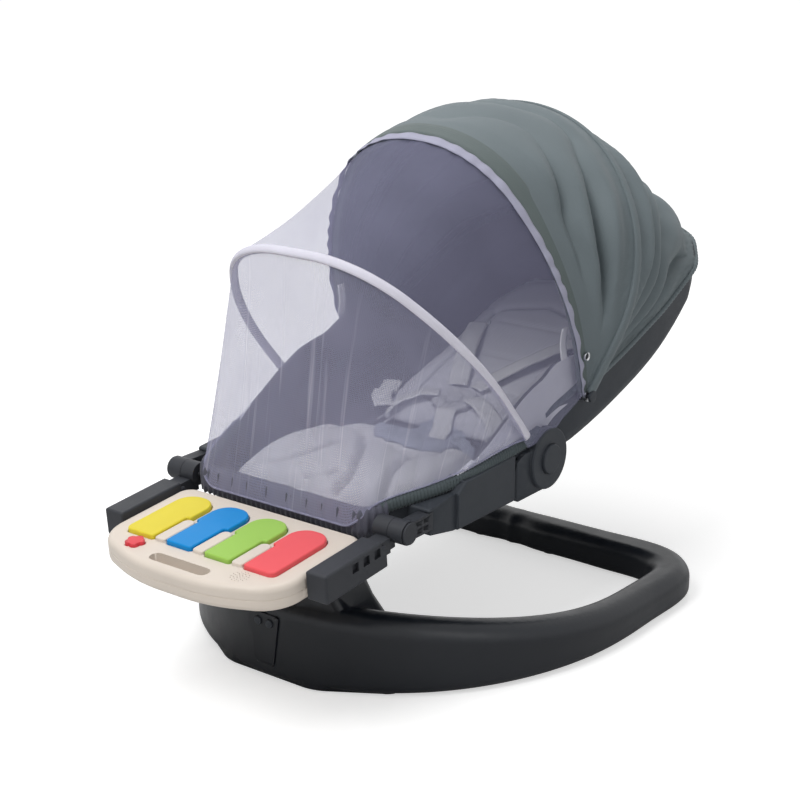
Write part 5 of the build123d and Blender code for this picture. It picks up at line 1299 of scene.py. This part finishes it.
def press_line(pad, line, depth, width):
    """Presses a sewn line, given by drawing points of (x, y), into the top of a cushion."""
    line = even(moved([(x, y, 0) for x, y in line]), 120)[:, :2]
    points = points_of(pad)
    facing = np.array([vertex.normal for vertex in pad.data.vertices])
    gap = np.full(len(points), 9.0)
    for spot in line:
        gap = np.minimum(gap, np.linalg.norm(points[:, :2] - spot, axis=1))
    upper = np.clip(facing[:, 2], 0, 1)
    points[:, 2] -= depth * MM * np.exp(-((gap / (width * MM)) ** 2)) * upper
    # The attribute holds painted shade for the bottom of each valley.
    if "seam_shade" not in pad.data.attributes:
        pad.data.attributes.new("seam_shade", "FLOAT", "POINT")
    seam_shade_marks = np.zeros(len(points), np.float32)
    pad.data.attributes["seam_shade"].data.foreach_get("value", seam_shade_marks)
    seam_shade_marks = np.maximum(seam_shade_marks, np.exp(-((gap / (0.5 * width * MM)) ** 2)) * upper).astype(np.float32)
    pad.data.attributes["seam_shade"].data.foreach_set("value", seam_shade_marks)
    move_points(pad, points)


SEAT_LINES = (
    [(-39, -15), (-57, -46), (-58, -91), (-64, -128), (-82, -178)],
    [(-37, -18), (-11, -61), (17, -109), (36, -145), (48, -176)],
    [(46, -33), (44, -55), (55, -88), (72, -118), (90, -146)],
    [(-39, -15), (-3, -24), (46, -33), (66, -4), (92, 12)],
    [(-14, -150), (4, -142), (6, -118)],
    [(-39, -15), (-70, 0), (-112, 4)],
)
for line in SEAT_LINES:
    press_line(seat_pad, line, *SEAT_SEAM)
BACK_LINES = (
    [(-66, 110), (-74, 190), (-70, 300)],
    [(66, 110), (74, 190), (70, 300)],
    [(-70, 300), (0, 318), (70, 300)],
)
for line in BACK_LINES:
    press_line(back_pad, line, *BACK_SEAM)
print(len(SEAT_LINES) + len(BACK_LINES), "sewn lines")

# %% [markdown]
# The buckle stands on the back cushion, so the cushion gives way under it, and under the button's travel too.
# The flap is then dropped onto whatever lies highest below each of its points.

# %% Make room for the buckle and lay the flap
BUCKLE_ROOM, BUTTON_ROOM = 0.8, 3.4
FLAP_GAP = 0.0004


def press_under(pad, above, room):
    """Presses a pad down where a hard piece stands on it, and leaves some room in millimetres."""
    tree = tree_of(above)
    points = points_of(pad)
    for spot in points:
        hit = tree.ray_cast(Vector((spot[0], spot[1], 0)), Vector((0, 0, 1)))[0]
        if hit is not None:
            spot[2] = min(spot[2], hit.z - room * MM)
    move_points(pad, points)


press_under(back_pad, bpy.data.objects["harness_buckle_smooth"], BUCKLE_ROOM)
press_under(back_pad, bpy.data.objects["buckle_button_smooth"], BUTTON_ROOM)
under_flap = [tree_of(piece) for piece in (seat_pad, back_pad, lining)]


def highest(x, y, trees):
    """The height of the highest of some surfaces under a point of the model, in metres."""
    hits = [tree.ray_cast(Vector((x, y, 0.5)), Vector((0, 0, -1)))[0] for tree in trees]
    return max(hit.z for hit in hits if hit is not None)


flap_spots = points_of(flap_pad)
flap_rise = np.maximum(flap_spots[:, 2] - PAD_FLOOR * MM, 0)
flap_floor = np.array([highest(x, y, under_flap) for x, y in flap_spots[:, :2]])
flap_spots[:, 2] = flap_floor + flap_rise + FLAP_GAP
flap_pad.data.vertices.foreach_set("co", flap_spots.ravel())
relaxed = flap_pad.modifiers.new("relaxed", "SMOOTH")
relaxed.iterations = 6
apply_all(flap_pad)
print("flap up to", round(float(points_of(flap_pad)[:, 2].max()), 3), "m")

# %% [markdown]
# Piping covers the seam round the seat cushion. Its line is the cut line, taken part way up the cushion's
# side to the nearest point of its surface.

# %% Piping round the seat cushion
PIPING_UP, PIPING_RADIUS = 0.017, 1.7
seat_tree = tree_of(seat_pad)
piping_line = []
for x, y in np.concatenate([seat_edge, seat_edge[:1]]):
    start = at(x, y, PAD_FLOOR)
    start.z = max(start.z, floor_under(start.x, start.y, lining_tree)) + PIPING_UP
    spot = seat_tree.find_nearest(start)[0]
    piping_line.append((spot.x / MM, (spot.y - SHIFT) / MM, spot.z / MM))
piping_line = even(np.array(piping_line), 400)
piping = lay_tube("seat_insert_piping", piping_line, PIPING_RADIUS, "insert_grey")

# %% Finish of the insert
for pad, body, finish in (
    (seat_pad, "seat", "insert_grey"), (back_pad, "back", "back_lavender"), (flap_pad, None, "crotch_blue"),
):
    dress(pad, finish)
    if body:
        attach(pad, body)
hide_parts("seat_insert")
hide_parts("back_insert")
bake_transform(flap_pad)
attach(piping, "seat")
print("insert dressed, with piping of", len(piping.data.vertices), "points")

# %% [markdown]
# ## The harness
# Five straps of webbing meet at the buckle, and each waist strap has a loose tail. Webbing is stiff across
# and limp along, so each strap is a ribbon along a line, laid at the height of the cloth below it.

# %% Straps laid on the cushion
below = under_flap + [tree_of(flap_pad)]
EDGE_CURL = 1.2


def rest_height(x, y):
    """The height of the cloth under a point of the drawing, in millimetres."""
    spot = at(x, y, 0)
    return highest(spot.x, spot.y, below) / MM


def strap(name, line, width=25.0, lift=1.4, count=60):
    """A ribbon of webbing along drawing points of (x, y, extra height)."""
    line = even(np.array(line, float), count)
    line = np.stack([softened(line[:, k], 9) for k in range(3)], axis=1)
    along = np.gradient(line[:, :2], axis=0)
    along /= np.linalg.norm(along, axis=1, keepdims=True)
    aside = np.stack([along[:, 1], -along[:, 0]], axis=1)
    shares = np.linspace(-0.5, 0.5, 9)
    heights = []
    for spot, side in zip(line, aside):
        heights.append([rest_height(*(spot[:2] + side * width * share)) for share in shares])
    heights = np.array(heights)
    middle = softened(heights.max(axis=1), 9) + lift + line[:, 2]
    rows = []
    for spot, side, z in zip(line, aside, middle):
        row = [(*(spot[:2] + side * width * share), z - EDGE_CURL * (2 * share) ** 4) for share in shares]
        rows.append(row)
    ribbon = lay_sheet(name, moved(rows), "webbing", WEBBING_THICK, 0)
    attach(ribbon, "back")
    flat_size(moved(rows))
    return ribbon


STRAPS = {
    "strap_shoulder_right": [(13, 133, 4), (26, 160, 7), (46, 200, 9), (62, 236, 6), (74, 266, 0)],
    "strap_shoulder_left": [(-13, 133, 4), (-26, 160, 7), (-46, 200, 9), (-62, 236, 6), (-74, 266, 0)],
    "strap_waist_right": [(24, 112, 3), (44, 102, 6), (64, 92, 5), (84, 82, 1)],
    "strap_waist_left": [(-24, 112, 3), (-44, 102, 6), (-62, 90, 5), (-80, 78, 1)],
    "strap_tail_right": [(86, 80, 3), (100, 92, 9), (112, 116, 7), (124, 146, 2)],
    "strap_tail_left": [(-82, 76, 3), (-98, 90, 9), (-112, 118, 7), (-126, 152, 2)],
    "strap_crotch": [(2, 96, 3), (6, 82, 6), (9, 68, 4), (10, 54, -2)],
}
straps = [strap(name, line) for name, line in STRAPS.items()]

# %% [markdown]
# Each waist strap turns back through a square slider, and each shoulder strap goes into the back through a
# flat bar. Both are a plane that is inset, opened in the middle, extruded and bevelled.

# %% Sliders and bars
SLIDER_ROUND = 1.1


def slider(name, length, width, rim, height, opened):
    """A flat frame or bar of plastic, flat on the ground at the origin."""
    bpy.ops.object.select_all(action="DESELECT")
    bpy.ops.mesh.primitive_plane_add(size=1)
    piece = bpy.context.object
    piece.name = name
    piece.data.transform(Matrix.Diagonal((length * MM, width * MM, 1, 1)))
    bpy.ops.object.mode_set(mode="EDIT")
    bpy.ops.mesh.select_all(action="SELECT")
    if opened:
        bpy.ops.mesh.inset(thickness=rim * MM)
        bpy.ops.mesh.delete(type="FACE")
        bpy.ops.mesh.select_all(action="SELECT")
    bpy.ops.mesh.extrude_region_move(TRANSFORM_OT_translate={"value": (0, 0, height * MM)})
    face_outwards()
    bevelled(piece, SLIDER_ROUND)
    bpy.ops.object.shade_smooth_by_angle(angle=SMOOTH_UP_TO)
    dress(piece, "buckle_plastic")
    return piece


def put(piece, x, y, turn, lift):
    """Lays a piece on the cloth at a drawing point, turned about the vertical and tilted with the cloth."""
    near = 9
    slope_x = (rest_height(x + near, y) - rest_height(x - near, y)) / (2 * near)
    slope_y = (rest_height(x, y + near) - rest_height(x, y - near)) / (2 * near)
    up = Vector((-slope_x, -slope_y, 1)).normalized()
    tilt = Vector((0, 0, 1)).rotation_difference(up).to_matrix().to_4x4()
    spot = Matrix.Translation(at(x, y, rest_height(x, y) + lift))
    piece.data.transform(spot @ tilt @ Matrix.Rotation(math.radians(turn), 4, "Z"))
    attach(piece, "back")


for side, word in ((1, "right"), (-1, "left")):
    put(slider("waist_slider_" + word, 30, 19, 3.6, 3.2, True), side * 82, 79, -side * 34, 2.0)
    put(slider("shoulder_bar_" + word, 32, 9, 0, 3.4, False), side * 75, 268, -side * 24, 0.6)
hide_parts("harness_straps")
print(len(straps), "straps with their sliders and bars")

# %% [markdown]
# ## Floor, light and camera
# The floor and the sky are white to the camera, as on a product page, while the light on the object stays at
# the level where a colour renders about as it is written. The floor keeps the object's shadow.

# %% Floor and sky
FLOOR_SIZE, FLOOR_DROP, FLOOR_GREY = 24, 0.0005, 0.74
GLOW_NEAR, GLOW_FAR, GLOW_START, GLOW_STOP = 0.55, 0.74, 1.0, 3.4
SKY_LIGHT = 0.36
WHITE = (1, 1, 1, 1)
bpy.ops.object.select_all(action="DESELECT")
bpy.ops.mesh.primitive_plane_add(size=FLOOR_SIZE, location=(0, 0, -FLOOR_DROP))
floor = bpy.context.object
floor.name = "floor"
floor_finish, floor_tree, floor_shader = start_finish("floor_white")
floor_shader.inputs["Base Color"].default_value = (FLOOR_GREY, FLOOR_GREY, FLOOR_GREY, 1)
floor_shader.inputs["Roughness"].default_value = 0.9
floor_shader.inputs["Specular IOR Level"].default_value = 0.0
floor_shader.inputs["Emission Color"].default_value = WHITE
floor_seen = add(floor_tree, "ShaderNodeLightPath").outputs["Is Camera Ray"]
floor_far = add(floor_tree, "ShaderNodeVectorMath", operation="LENGTH")
floor_tree.links.new(add(floor_tree, "ShaderNodeTexCoord").outputs["Object"], floor_far.inputs[0])
floor_white = spread(floor_tree, floor_far.outputs["Value"], GLOW_NEAR, GLOW_FAR, GLOW_START, GLOW_STOP)
floor_glow = sums(floor_tree, floor_seen, floor_white, "MULTIPLY")
floor_tree.links.new(floor_glow, floor_shader.inputs["Emission Strength"])
floor.data.materials.append(floor_finish)

world = bpy.data.worlds.new("studio")
bpy.context.scene.world = world
world.use_nodes = True
sky_tree = world.node_tree
sky = sky_tree.nodes["Background"]
sky.inputs["Color"].default_value = WHITE
sky.inputs["Strength"].default_value = SKY_LIGHT
seen = add(sky_tree, "ShaderNodeBackground", {"Color": WHITE, "Strength": 1.0})
path = add(sky_tree, "ShaderNodeLightPath")
either = sums(sky_tree, path.outputs["Is Camera Ray"], path.outputs["Is Glossy Ray"], "MAXIMUM")
either = sums(sky_tree, either, path.outputs["Is Transmission Ray"], "MAXIMUM")
choose = add(sky_tree, "ShaderNodeMixShader")
sky_tree.links.new(either, choose.inputs[0])
sky_tree.links.new(sky.outputs[0], choose.inputs[1])
sky_tree.links.new(seen.outputs[0], choose.inputs[2])
sky_tree.links.new(choose.outputs[0], sky_tree.nodes["World Output"].inputs["Surface"])
print("floor", FLOOR_SIZE, "m wide, sky", SKY_LIGHT)

# %% [markdown]
# Three large soft lamps light the seat: one in front and above, which reaches under the canopy, a weak one at
# the near side, and one over the back. Large lamps give soft shadow edges.


# %% Lamps
def softbox(name, place, aim, size, power):
    """A square area lamp that faces a point."""
    lamp = bpy.data.lights.new(name, "AREA")
    lamp.size = size
    lamp.energy = power
    holder = bpy.data.objects.new(name, lamp)
    bpy.context.collection.objects.link(holder)
    holder.location = place
    holder.rotation_euler = (Vector(aim) - Vector(place)).to_track_quat("-Z", "Y").to_euler()


softbox("key_lamp", (-0.3, -1.9, 2.8), (0, -0.1, 0.25), 1.4, 48)
softbox("side_lamp", (2.4, -0.6, 1.7), (0, 0, 0.25), 1.4, 7)
softbox("top_lamp", (-0.6, 0.7, 3.0), (0, 0, 0.2), 1.6, 31)
print(len(bpy.data.lights), "lamps")

# %% [markdown]
# The camera stands in front of the seat, to its right and above it, as the photograph was taken. Its place
# and lens were fitted beforehand.

# %% Camera
CAMERA_PLACE, CAMERA_AIM = (1206.8, -1584.2, 907.1), (0, 0, 260)
CAMERA_LENS, CAMERA_SENSOR = 81.18, 36
camera = bpy.data.objects.new("camera", bpy.data.cameras.new("camera"))
bpy.context.collection.objects.link(camera)
camera.location = at(*CAMERA_PLACE)
camera.rotation_euler = (at(*CAMERA_AIM) - camera.location).to_track_quat("-Z", "Y").to_euler()
camera.data.lens = CAMERA_LENS
camera.data.sensor_width = CAMERA_SENSOR
bpy.context.scene.camera = camera
bpy.context.scene.view_settings.view_transform = "Standard"
print("camera at", [round(part, 3) for part in camera.location])
